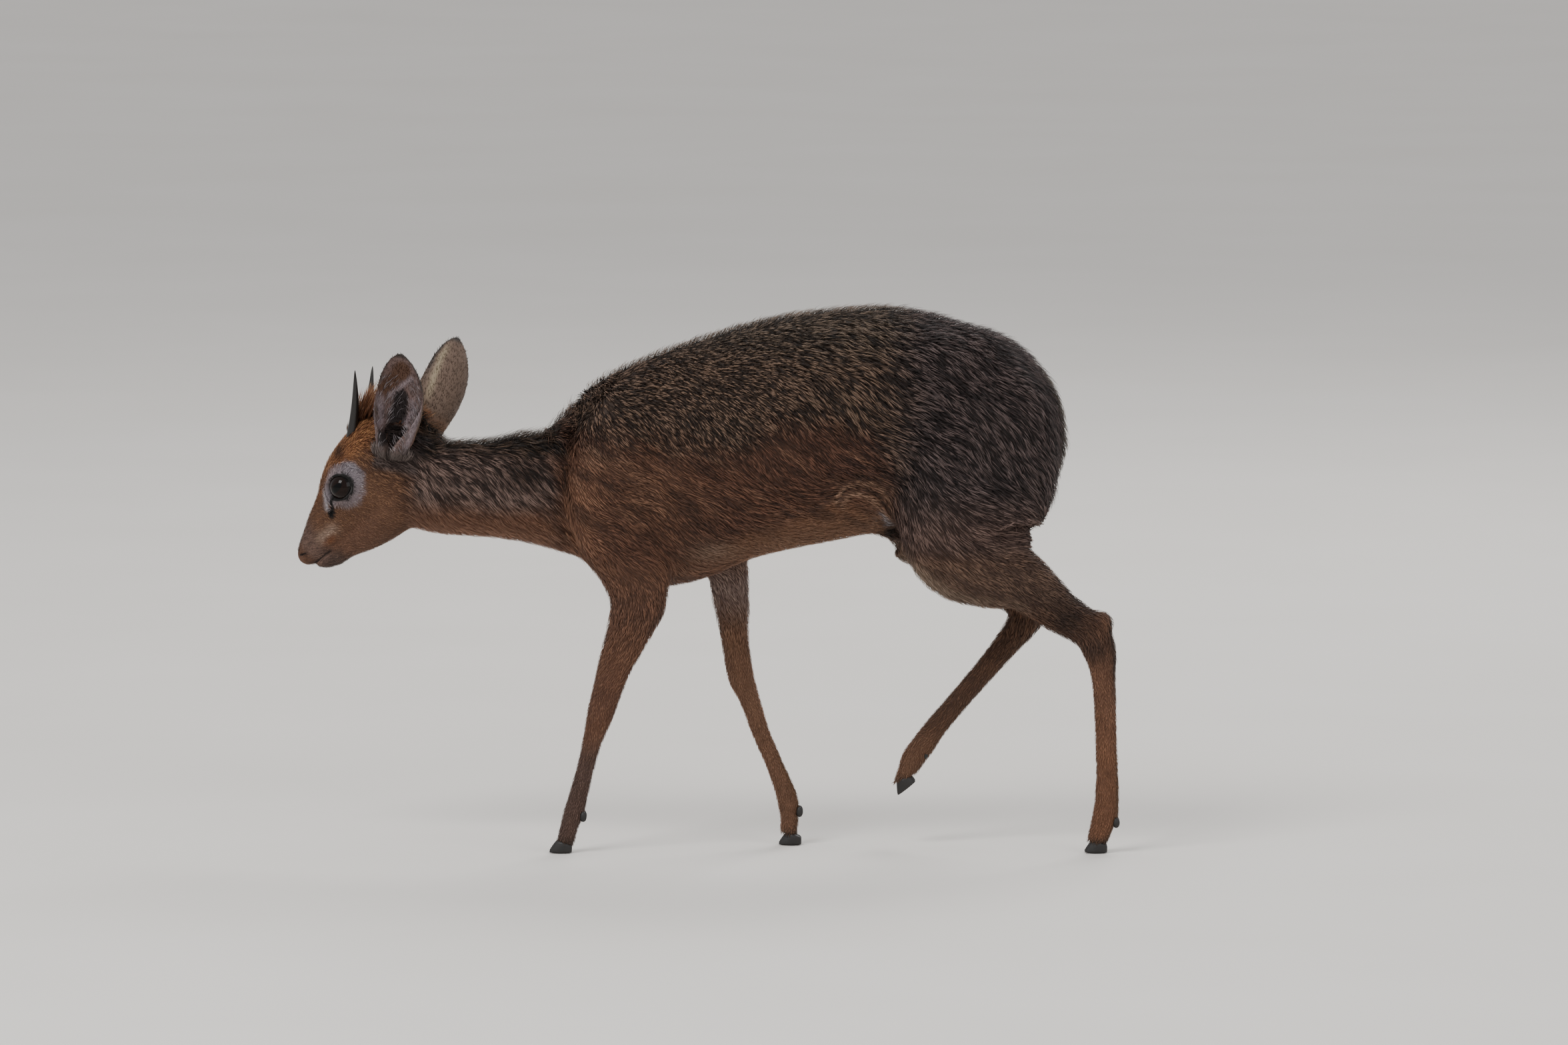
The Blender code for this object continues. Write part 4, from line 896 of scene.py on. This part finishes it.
crestLook = {
    "seed": 4, "hairs": 3000,
    # forward, up, half width, lean back, length
    "rows": ((-25, 33, 6, 0.10, 13), (-31, 33, 8, 0.02, 22), (-38, 32, 10, 0.0, 29), (-45, 31, 11, 0.06, 31),
             (-52, 27, 12, 0.22, 28), (-59, 21, 13, 0.5, 23), (-67, 14, 14, 0.85, 19), (-76, 2, 15, 1.2, 16)),
    "halfWidth": 0.26, "spread": 0.13,
}


def makeCrest(unwrap, skinTree, skinData):
    rng = np.random.default_rng(crestLook["seed"])
    count = crestLook["hairs"]
    rows = np.array(crestLook["rows"])
    t = rng.random(count)
    forward = rows[0, 0] + (rows[-1, 0] - rows[0, 0]) * t
    up, half, lean, length = (np.interp(-forward, -rows[:, 0], rows[:, k]) for k in (1, 2, 3, 4))
    out = half * np.clip(rng.normal(0, 0.5, count), -1, 1)
    guess = fromHead(forward, up, out)
    corners, tris, normals = skinData
    roots, faces = ground(skinTree, guess)
    n = softNormals(roots, faces, corners, tris, normals)
    lock = np.floor(t * 46) + 50 * np.floor(out / 3.5)
    key = np.unique(lock, return_inverse=True)[1]
    drift = rng.normal(0, 1, (key.max() + 1, 3))[key]
    shade = rng.random(key.max() + 1)[key]
    rise = np.stack([lean, np.zeros(count), np.ones(count)], 1) + np.multiply.outer(out * 0.02, headRight)
    rise = unit(rise + drift * crestLook["spread"] + rng.normal(0, 0.05, (count, 3)))
    length = length * rng.uniform(0.55, 1.1, count) * (0.85 + 0.3 * shade) * (1 - 0.35 * (np.abs(out) / half) ** 2)
    bend = np.stack([length * 0.24, np.zeros(count), np.zeros(count)], 1)
    spine = np.stack([roots - n * 0.8] + [roots + rise * (length * s)[:, None] + bend * s * s
                                          for s in (0.34, 0.68, 1.0)], 1)
    pale = np.clip(shade * 0.7 + rng.random(count) * 0.3, 0, 1)[:, None]
    dark, warm, buff = tone("20120b"), tone("7d4c2c"), tone("b9946f")
    tip = np.where(pale < 0.3, dark * 1.4, np.where(pale > 0.72, buff, warm * (0.5 + pale)))
    middle = dark + (warm - dark) * (0.2 + 0.8 * pale)
    colours = np.stack([np.tile(dark * 0.8, (count, 1)), middle * 0.75, middle, tip], 1)
    wide = crestLook["halfWidth"] * rng.uniform(0.7, 1.3, count)
    toward = np.tile(headRight, (count, 1)) * np.sign(rng.random(count) - 0.5)[:, None]
    toward = toward + rng.normal(0, 0.6, (count, 3))
    mesh = tuftMesh("crest", spine, toward, wide, wide * 0.5, colours, spotsOn(unwrap, roots))
    print("crest: hairs", count)
    return asPiece(shown("crest", mesh))


# ears

earLook = {
    "left": {"root": (-257.8, -2.3, 324), "tip": (-250.3, -23.3, 409.5), "facing": (-0.45, -1.0, -0.2)},
    "right": {"root": (-236.8, 48.7, 331), "tip": (-206.3, 63.7, 415), "facing": (-0.55, 1.0, 0.1)},
    "levels": 2, "shortHairs": 3800, "innerHairs": 420, "rootHairs": 1300, "seed": 31, "base": ("1c1512", "51453f"),
    "back": ("3b2e26", "776152"), "stripe": ("645847", "9f8f76"), "rim": ("17110f", "38302b"),
    # the hollow and deep tones are painted shade inside the cup: darker in its hollow, near black down its canal
    "warm": ("5f3c26", "9a6a48"), "inside": ("493732", "77615c"), "hollowShade": ("301c14", "5e3f2c"),
    "deep": ("0c0606", "201312"), "ridge": ("6b5d5f", "918285"),
    # places inside the cup: up from the root and across it, towards the rear edge
    "hollowLine": ((73, 0), (62, -7), (52, -14)), "canalLine": ((46, -3.5), (34, -4.5), (16, -5)),
    "ridgeLine": ((66, 7), (56, -3), (46, -12)), "flapLine": ((44, 7), (36, 8), (24, 3)),
}


def earFrame(side):
    look = earLook[side]
    root, tip, facing = (np.array(look[k], float) for k in ("root", "tip", "facing"))
    length = np.linalg.norm(tip - root)
    along = (tip - root) / length
    facing = unit(facing - along * (facing @ along))
    across = np.cross(along, facing) * (1 if side == "left" else -1)
    return root, along, facing, across, length


def earPaint(p, n, side):
    root, along, facing, across, length = earFrame(side)
    q = p - root
    h, s = q @ along, q @ across
    t = h / length
    half = np.interp(t, (0, 0.17, 0.36, 0.58, 0.77, 0.92, 1), (12, 16.5, 20.5, 21.5, 18, 10.5, 2))
    inward = np.maximum(ramp(n @ facing, -0.1, 0.35), ramp(n @ along, 0.1, 0.5) * (h < 34) * (q @ facing > -9))
    rim = np.maximum(ramp(np.abs(s) / half, 0.84, 0.98), ramp(t, 0.93, 0.99))
    speck = grain(p, 6, 8) - 0.5
    under, over = (np.tile(tone(c), (len(p), 1)) for c in earLook["back"])
    away = {k: awayFrom(h, s, earLook[k]) + speck * 2 for k in ("hollowLine", "canalLine", "ridgeLine", "flapLine")}
    backward = 1 - inward
    for weight, look in (
            (backward * ramp(0.3 - t, 0, 0.25), "warm"),
            (backward * bump(s, -half * 0.72, 3.2) * ramp(t, 0.3, 0.5) * ramp(0.95 - t, 0, 0.15), "stripe"),
            (backward * rim * ramp(t, 0.45, 0.75), "rim"),
            (inward, "inside"),
            # painted shade in the hollow of the cup and down the canal
            (inward * ramp(9.5 - away["hollowLine"], 0, 5), "hollowShade"),
            (inward * ramp(8.5 - away["canalLine"], 0, 3.5), "deep"),
            (inward * bump(away["flapLine"], 0, 3.5) * 0.8, "ridge"),
            (inward * bump(away["ridgeLine"], 0, 2.2), "ridge"),
            (inward * ramp(np.abs(s) / half, 0.72, 0.86) * ramp(0.6 - t, 0, 0.2), "ridge"),
            (inward * rim * ramp(t, 0.55, 0.75), "rim"),
            (ramp(15 - h, 0, 12), "base")):
        under, over = layOver(under, over, weight, *earLook[look])
    return under, over


def makeEar(side, unwrap, skinTree, skinData):
    name = f"ear_{side}"
    mesh = nodes[name].data.copy()
    mesh.materials.clear()
    ear = shown(f"ear{side.title()}", mesh)
    inEdit(ear, (bpy.ops.mesh.remove_doubles, {"threshold": 1e-6}), (bpy.ops.mesh.tris_convert_to_quads, {}))
    roundOff(ear, earLook["levels"])
    root, along, facing, across, _ = earFrame(side)
    corners, normals = pointsOf(ear.data), normalsOf(ear.data)
    h, s = (corners - root) @ along, (corners - root) @ across
    inward = ramp(normals @ facing, 0.1, 0.5)
    raised = bump(awayFrom(h, s, earLook["ridgeLine"]), 0, 2.6) + 0.8 * bump(awayFrom(h, s, earLook["flapLine"]), 0, 4)
    corners += np.multiply.outer(raised * inward * 1.1, facing)
    setPoints(ear.data, corners)
    tris, normals = trianglesOf(ear.data), normalsOf(ear.data)
    under, over = earPaint(corners, normals, side)
    setTint(ear.data, under * 0.4 + over * 0.6)
    asPiece(ear, name, slot="ear_skin")
    # short hair on both faces, long pale hair from the walls across the cup
    rng = np.random.default_rng(earLook["seed"] + len(side))
    area, mid = areasOf(corners, tris)
    share = np.cumsum(area)
    count, extra = earLook["shortHairs"], earLook["innerHairs"]
    tri = np.searchsorted(share, rng.random(count) * share[-1] * 0.9999)
    h, s = (mid - root) @ along, (mid - root) @ across
    inCup = ((normals[tris[:, 0]] @ facing) > 0.05) * (h > 5) * (h < 62) * (np.abs(s) > 6)
    walls = area * inCup * np.where(s > 0, 1.0, 0.7)
    shareIn = np.cumsum(walls)
    tri = np.concatenate([tri, np.searchsorted(shareIn, rng.random(extra) * shareIn[-1] * 0.9999)])
    total = len(tri)
    roots, n = scatter(rng, tri, corners, tris, normals)
    isLong = np.arange(total) >= count
    s = (roots - root) @ across
    d = np.tile(along, (total, 1)) + np.multiply.outer(s / 40, across)
    acrossCup = -np.sign(s)[:, None] * across[None] * 0.55 + along[None] * 0.85 + facing[None] * 0.15
    d = np.where(isLong[:, None], acrossCup, d) + rng.normal(0, 0.16, (total, 3))
    d = unit(d - n * (d * n).sum(1)[:, None] * np.where(isLong, 0.7, 1)[:, None])
    size = np.where(isLong, rng.uniform(6, 11, total), rng.uniform(2.2, 3.8, total))
    lift = np.where(isLong, rng.uniform(0.8, 2.2, total), rng.uniform(0.25, 0.6, total))
    spine = np.stack([roots - n * 0.25, roots + d * (size * 0.5)[:, None] + n * (lift * 0.8)[:, None],
                      roots + d * size[:, None] + n * lift[:, None]], 1)
    spots = spotsOn(unwrap, roots)
    under, over = earPaint(roots, n, side)
    pale = rng.random(total)[:, None]
    longPale = tone("6f6566") + (tone("b9afb2") - tone("6f6566")) * pale
    tips = np.where(isLong[:, None], longPale, under + (over - under) * (0.3 + 0.95 * pale))
    mids = np.where(isLong[:, None], longPale * 0.75, under + (over - under) * (0.2 + 0.6 * pale))
    colours = np.stack([under * 0.8, mids, tips], 1)
    wide = np.where(isLong, 0.16, 0.22) * rng.uniform(0.7, 1.3, total)
    # and hair from the head that covers the ear's root
    base = earLook["rootHairs"]
    turn = rng.uniform(-2.1, 2.1, base)
    ring = np.multiply.outer(np.cos(turn), facing) + np.multiply.outer(np.sin(turn), across)
    places, faces = ground(skinTree, root - along * 3 + ring * rng.uniform(8, 15, base)[:, None])
    up = softNormals(places, faces, *skinData)
    way = unit(along[None] * 0.9 + ring * 0.1 + rng.normal(0, 0.16, (base, 3)))
    reach = rng.uniform(7, 15, base)[:, None]
    grey = rng.random(base)[:, None]
    greyTone = tone("2c211e") + (tone("8c7d76") - tone("2c211e")) * grey
    spine = np.concatenate([spine, np.stack([places - up * 0.5, places + way * reach * 0.5 + up * 1.2,
                                             places + way * reach + up * 0.8], 1)])
    colours = np.concatenate([colours, np.stack([greyTone * 0.5, greyTone * 0.8, greyTone], 1)])
    n, wide = np.concatenate([n, up]), np.concatenate([wide, rng.uniform(0.2, 0.36, base)])
    spots = np.concatenate([spots, spotsOn(unwrap, places)])
    mesh = tuftMesh(f"earHair{side.title()}", spine, n, wide, wide * 0.5, colours, spots)
    return ear, asPiece(shown(mesh.name, mesh))


# hooves, dewclaws and horns: finer copies of their nodes

def finerCopy(node, name, levels, slot):
    mesh = nodes[node].data.copy()
    mesh.materials.clear()
    obj = shown(name, mesh)
    inEdit(obj, (bpy.ops.mesh.remove_doubles, {"threshold": 1e-6}),
           (bpy.ops.mesh.dissolve_limited, {"angle_limit": math.radians(0.5)}))
    roundOff(obj, levels)
    return asPiece(obj, node, slot=slot)


# eyes: a finer ball with its clear bulge, and a dark rim of lids round it

def makeEye(side):
    s = -1 if side == "left" else 1
    centre, axis, along, rise = eyeFrame(s)
    pickNone()
    bpy.ops.mesh.primitive_uv_sphere_add(segments=64, ring_count=48, radius=eyeLook["radius"] * mm)
    eye = bpy.context.object
    eye.name = eye.data.name = f"eyeball{side.title()}"
    p = pointsOf(eye.data)
    bulge = np.exp(-(np.hypot(p[:, 0], p[:, 1]) / 7.5) ** 4) * (p[:, 2] > 0) * eyeLook["cornea"]
    p *= (1 + bulge / eyeLook["radius"])[:, None]
    turn = np.stack([along, rise, axis], 0)
    world = p @ turn + centre
    setPoints(eye.data, world)
    if np.linalg.det(turn) < 0:
        inEdit(eye, (bpy.ops.mesh.flip_normals, {}))
    pick(eye)
    bpy.ops.object.shade_smooth()
    gaze = eye.data.attributes.new("gaze", "FLOAT_VECTOR", "POINT")
    gaze.data.foreach_set("vector", (p / eyeLook["radius"]).astype(np.float32).ravel())
    asPiece(eye, f"eye_{side}", slot="eye")
    # the rim, a soft ring of skin drawn out to the tear corner
    ring, section = 96, 10
    verts = []
    for k in range(ring):
        a = 2 * math.pi * k / ring
        reach = float(lidReach(math.atan2(math.sin(a), math.cos(a)))) + 0.35
        l, h = math.cos(a) * reach, math.sin(a) * reach
        middle = along * l + rise * h + axis * math.sqrt(max(13.2 ** 2 - l * l - h * h, 9))
        outWay = unit(along * math.cos(a) + rise * math.sin(a))
        ringUp = unit(middle)
        tangent = unit(outWay - ringUp * (outWay @ ringUp))
        for j in range(section):
            b = 2 * math.pi * j / section
            verts.append(centre + middle + tangent * math.cos(b) * eyeLook["rimWide"]
                         + ringUp * math.sin(b) * eyeLook["rimHigh"])
    faces = [(k * section + j, k * section + (j + 1) % section,
              (k + 1) % ring * section + (j + 1) % section, (k + 1) % ring * section + j)
             for k in range(ring) for j in range(section)]
    mesh = bpy.data.meshes.new(f"lids{side.title()}")
    mesh.from_pydata([tuple(v * mm) for v in verts], [], faces)
    lids = shown(mesh.name, mesh)
    inEdit(lids, (bpy.ops.mesh.normals_make_consistent, {"inside": False}))
    bpy.ops.object.shade_smooth()
    asPiece(lids)
    return eye, lids


# finishes

def newFinish(name):
    made = bpy.data.materials.new(name)
    made.use_nodes = True
    tree = made.node_tree
    return made, tree, tree.nodes["Principled BSDF"]


def node(tree, kind, **values):
    made = tree.nodes.new(kind)
    for key, value in values.items():
        if key in made.inputs:
            made.inputs[key].default_value = value
        else:
            setattr(made, key, value)
    return made


def mixTone(tree, factor, a, b):
    mix = tree.nodes.new("ShaderNodeMix")
    mix.data_type = "RGBA"
    for socket, value in ((mix.inputs[0], factor), (mix.inputs[6], a), (mix.inputs[7], b)):
        if isinstance(value, bpy.types.NodeSocket):
            tree.links.new(value, socket)
        elif isinstance(value, (int, float)):
            socket.default_value = value
        else:
            socket.default_value = (*value, 1)
    return mix.outputs[2]


def noiseOn(tree, place, scale, detail, roughness=0.5):   # noise on a place, stretched by a scale
    stretch = node(tree, "ShaderNodeMapping", Scale=scale)
    tree.links.new(place, stretch.inputs["Vector"])
    noise = node(tree, "ShaderNodeTexNoise", Scale=1.0, Detail=detail, Roughness=roughness)
    tree.links.new(stretch.outputs[0], noise.inputs["Vector"])
    return noise.outputs["Fac"]


def mapped(tree, value, *limits):            # from min, from max, to min, to max
    made = node(tree, "ShaderNodeMapRange", **dict(zip(("From Min", "From Max", "To Min", "To Max"), limits)))
    tree.links.new(value, made.inputs["Value"])
    return made.outputs[0]


def addBump(tree, shader, height, strength, distance):
    lift = node(tree, "ShaderNodeBump", Strength=strength, Distance=distance)
    tree.links.new(height, lift.inputs["Height"])
    tree.links.new(lift.outputs["Normal"], shader.inputs["Normal"])


finishLook = {
    # how the noise brightens and darkens the tint, roughness, gloss, and the bump's strength and height
    "hair": {"spread": (0.3, 0.7, 0.62, 1.35), "rough": 0.62, "gloss": 0.32, "bump": (0.35, 0.0002)},
    "bareSkin": {"spread": (0, 1, 0.72, 1.2), "rough": 0.7, "gloss": 0.25, "bump": (0.5, 0.0004)},
    "earSkin": {"spread": (0, 1, 0.7, 1.25), "rough": 0.75, "gloss": 0.5, "bump": (0.4, 0.0003)},
}


def tintedFinish(name):                      # the painted tint, broken up by fine noise
    made, tree, shader = newFinish(name)
    look = finishLook[name]
    tint = node(tree, "ShaderNodeAttribute", attribute_name="coatTint")
    place = node(tree, "ShaderNodeTexCoord").outputs["Object"]
    if name == "hair":                       # strands run along each tuft, another pattern on every one
        strand = node(tree, "ShaderNodeUVMap", uv_map="strand")
        stretch = node(tree, "ShaderNodeMapping", Scale=(9, 1.2, 1))
        tree.links.new(strand.outputs[0], stretch.inputs["Vector"])
        shift = node(tree, "ShaderNodeVectorMath", operation="MULTIPLY_ADD")
        shift.inputs[1].default_value = (60, 60, 60)
        tree.links.new(place, shift.inputs[0])
        tree.links.new(stretch.outputs[0], shift.inputs[2])
        noise = noiseOn(tree, shift.outputs[0], (1, 1, 1), 2.0)
    else:
        scale, detail = ((420, 420, 420), 4.0) if name == "bareSkin" else ((900, 900, 120), 3.0)
        noise = noiseOn(tree, place, scale, detail)
    scaled = node(tree, "ShaderNodeVectorMath", operation="SCALE")
    tree.links.new(tint.outputs["Color"], scaled.inputs[0])
    tree.links.new(mapped(tree, noise, *look["spread"]), scaled.inputs["Scale"])
    tree.links.new(scaled.outputs[0], shader.inputs["Base Color"])
    shader.inputs["Roughness"].default_value = look["rough"]
    shader.inputs["Specular IOR Level"].default_value = look["gloss"]
    addBump(tree, shader, noise, *look["bump"])
    return made


def hornFinish(name, dark, light, rings, rough):
    made, tree, shader = newFinish(name)
    place = node(tree, "ShaderNodeTexCoord").outputs["Object"]
    noise = noiseOn(tree, place, rings, 4.0, 0.6)
    tree.links.new(mixTone(tree, noise, tone(dark), tone(light)), shader.inputs["Base Color"])
    tree.links.new(mapped(tree, noise, 0, 1, rough, rough + 0.25), shader.inputs["Roughness"])
    addBump(tree, shader, noise, 0.5, 0.0004)
    return made


def eyeFinish():                             # brown iris with a level slit, under a wet surface
    made, tree, shader = newFinish("eyeWet")
    gaze = node(tree, "ShaderNodeAttribute", attribute_name="gaze").outputs["Vector"]

    def fromMiddle(scale):                   # how far a point of the front is from the middle of the iris
        flat = node(tree, "ShaderNodeMapping", Scale=scale)
        tree.links.new(gaze, flat.inputs["Vector"])
        size = node(tree, "ShaderNodeVectorMath", operation="LENGTH")
        tree.links.new(flat.outputs[0], size.inputs[0])
        return size.outputs["Value"]

    iris = mixTone(tree, noiseOn(tree, gaze, (14, 14, 14), 4.0), tone("0a0504"), tone("1e0f09"))
    pupil = mapped(tree, fromMiddle((1.0, 2.1, 0.0)), 0.42, 0.52)
    edge = mapped(tree, fromMiddle((1.0, 1.0, 0.0)), 0.66, 0.76)
    withPupil = mixTone(tree, pupil, tone("030303"), iris)
    tree.links.new(mixTone(tree, edge, withPupil, tone("0a0706")), shader.inputs["Base Color"])
    for name, value in (("Roughness", 0.06), ("Specular IOR Level", 0.12), ("Coat Weight", 0.08),
                        ("Coat Roughness", 0.02)):
        shader.inputs[name].default_value = value
    return made


# building

skin = makeSkin()
print("skin: triangles", len(trianglesOf(skin.data)))
asPiece(skin, *fleshNodes, slot="body_coat")
skinPoints, skinNormals = pointsOf(skin.data), normalsOf(skin.data)
underTone, overTone = paint(skinPoints, skinNormals)
bare = (1 - ramp(skinPoints[:, 0], -275, -250)) * ramp(inHead(skinPoints)[0], 40, 70)
setTint(skin.data, underTone * 0.75 + (overTone - underTone) * (0.18 + 0.3 * bare)[:, None])
skin.data.materials.append(tintedFinish("bareSkin"))

unwrap = makeUnwrap(skin)
print("unwrap ready")
hair = tintedFinish("hair")
coats, skinTree, skinData = makeCoat(skin, unwrap)
coats.append(makeCrest(unwrap, skinTree, skinData))
earSkin = tintedFinish("earSkin")
for side in ("left", "right"):
    ear, earHair = makeEar(side, unwrap, skinTree, skinData)
    ear.data.materials.append(earSkin)
    coats.append(earHair)
for coat in coats:
    coat.data.materials.append(hair)
print("ears ready")

horn = hornFinish("hornBlack", "070605", "1d1815", (300, 300, 900), 0.28)
hoof = hornFinish("hoofBlack", "070605", "1e1916", (260, 260, 1200), 0.45)
for side in ("left", "right"):
    finerCopy(f"horn_{side}", f"horn{side.title()}", 2, "horn").data.materials.append(horn)
    for pair in ("fore", "hind"):
        for place in ("outer", "inner"):
            label = f"{pair.title()}{side.title()}{place.title()}"
            for kind, levels in (("hoof", 2), ("dewclaw", 1)):
                claw = finerCopy(f"{kind}_{pair}_{side}_{place}", kind + label, levels, "hoof")
                claw.data.materials.append(hoof)
print("horns and hooves ready")

eyeWet = eyeFinish()
lidSkin = hornFinish("lidSkin", "080606", "1a1412", (500, 500, 500), 0.35)
for side in ("left", "right"):
    eye, lids = makeEye(side)
    eye.data.materials.append(eyeWet)
    lids.data.materials.append(lidSkin)
print("eyes ready")

# floor, light and camera

stageLook = {
    "floor": 60, "floorDrop": 0.2, "paper": ("dcd8d1", "e4e0da"), "sky": 0.8, "skyTone": (0.9, 0.9, 0.92, 1),
    "aim": (62.7, 0, 269), "above": 6.2, "lens": 300, "away": 10705,
    # place in metres, size and power of each lamp
    "lamps": {"keyLight": ((-1.6, -2.2, 3.2), 1.6, 95), "fillLight": ((2.4, -2.6, 1.6), 2.2, 32),
              "rimLight": ((1.2, 2.6, 2.8), 1.6, 60)},
    "lampsAim": (0, 0, 0.28),
}

pickNone()
bpy.ops.mesh.primitive_plane_add(size=stageLook["floor"], location=(0, 0, -stageLook["floorDrop"] * mm))
floor = bpy.context.object
floor.name = "floor"
paper, paperTree, paperShader = newFinish("paper")
paperNoise = node(paperTree, "ShaderNodeTexNoise", Scale=3.0, Detail=2.0)
paperPlace = node(paperTree, "ShaderNodeTexCoord")
paperTree.links.new(paperPlace.outputs["Object"], paperNoise.inputs["Vector"])
paperTone = mixTone(paperTree, paperNoise.outputs["Fac"], *map(tone, stageLook["paper"]))
paperTree.links.new(paperTone, paperShader.inputs["Base Color"])
paperShader.inputs["Roughness"].default_value = 0.9
floor.data.materials.append(paper)
floor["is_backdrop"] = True

world = bpy.data.worlds.new("studio")
bpy.context.scene.world = world
world.use_nodes = True
world.node_tree.nodes["Background"].inputs["Color"].default_value = stageLook["skyTone"]
world.node_tree.nodes["Background"].inputs["Strength"].default_value = stageLook["sky"]

for name, (place, size, power) in stageLook["lamps"].items():
    lamp = bpy.data.lights.new(name, "AREA")
    lamp.size = size
    lamp.energy = power
    obj = shown(name, lamp)
    obj.location = place
    obj.rotation_euler = (Vector(stageLook["lampsAim"]) - Vector(place)).to_track_quat("-Z", "Y").to_euler()

tilt = math.radians(stageLook["above"])
back = Vector((0, -math.cos(tilt), math.sin(tilt)))
lens = bpy.data.cameras.new("camera")
lens.lens = stageLook["lens"]
lens.clip_end = 200
camera = shown("camera", lens)
camera.location = (Vector(stageLook["aim"]) + back * stageLook["away"]) * mm
camera.rotation_euler = (-back).to_track_quat("-Z", "Y").to_euler()
bpy.context.scene.camera = camera
print("stage ready")

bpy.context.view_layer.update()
print("triangles in all", sum(len(trianglesOf(o.data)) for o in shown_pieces() if o.type == "MESH"))
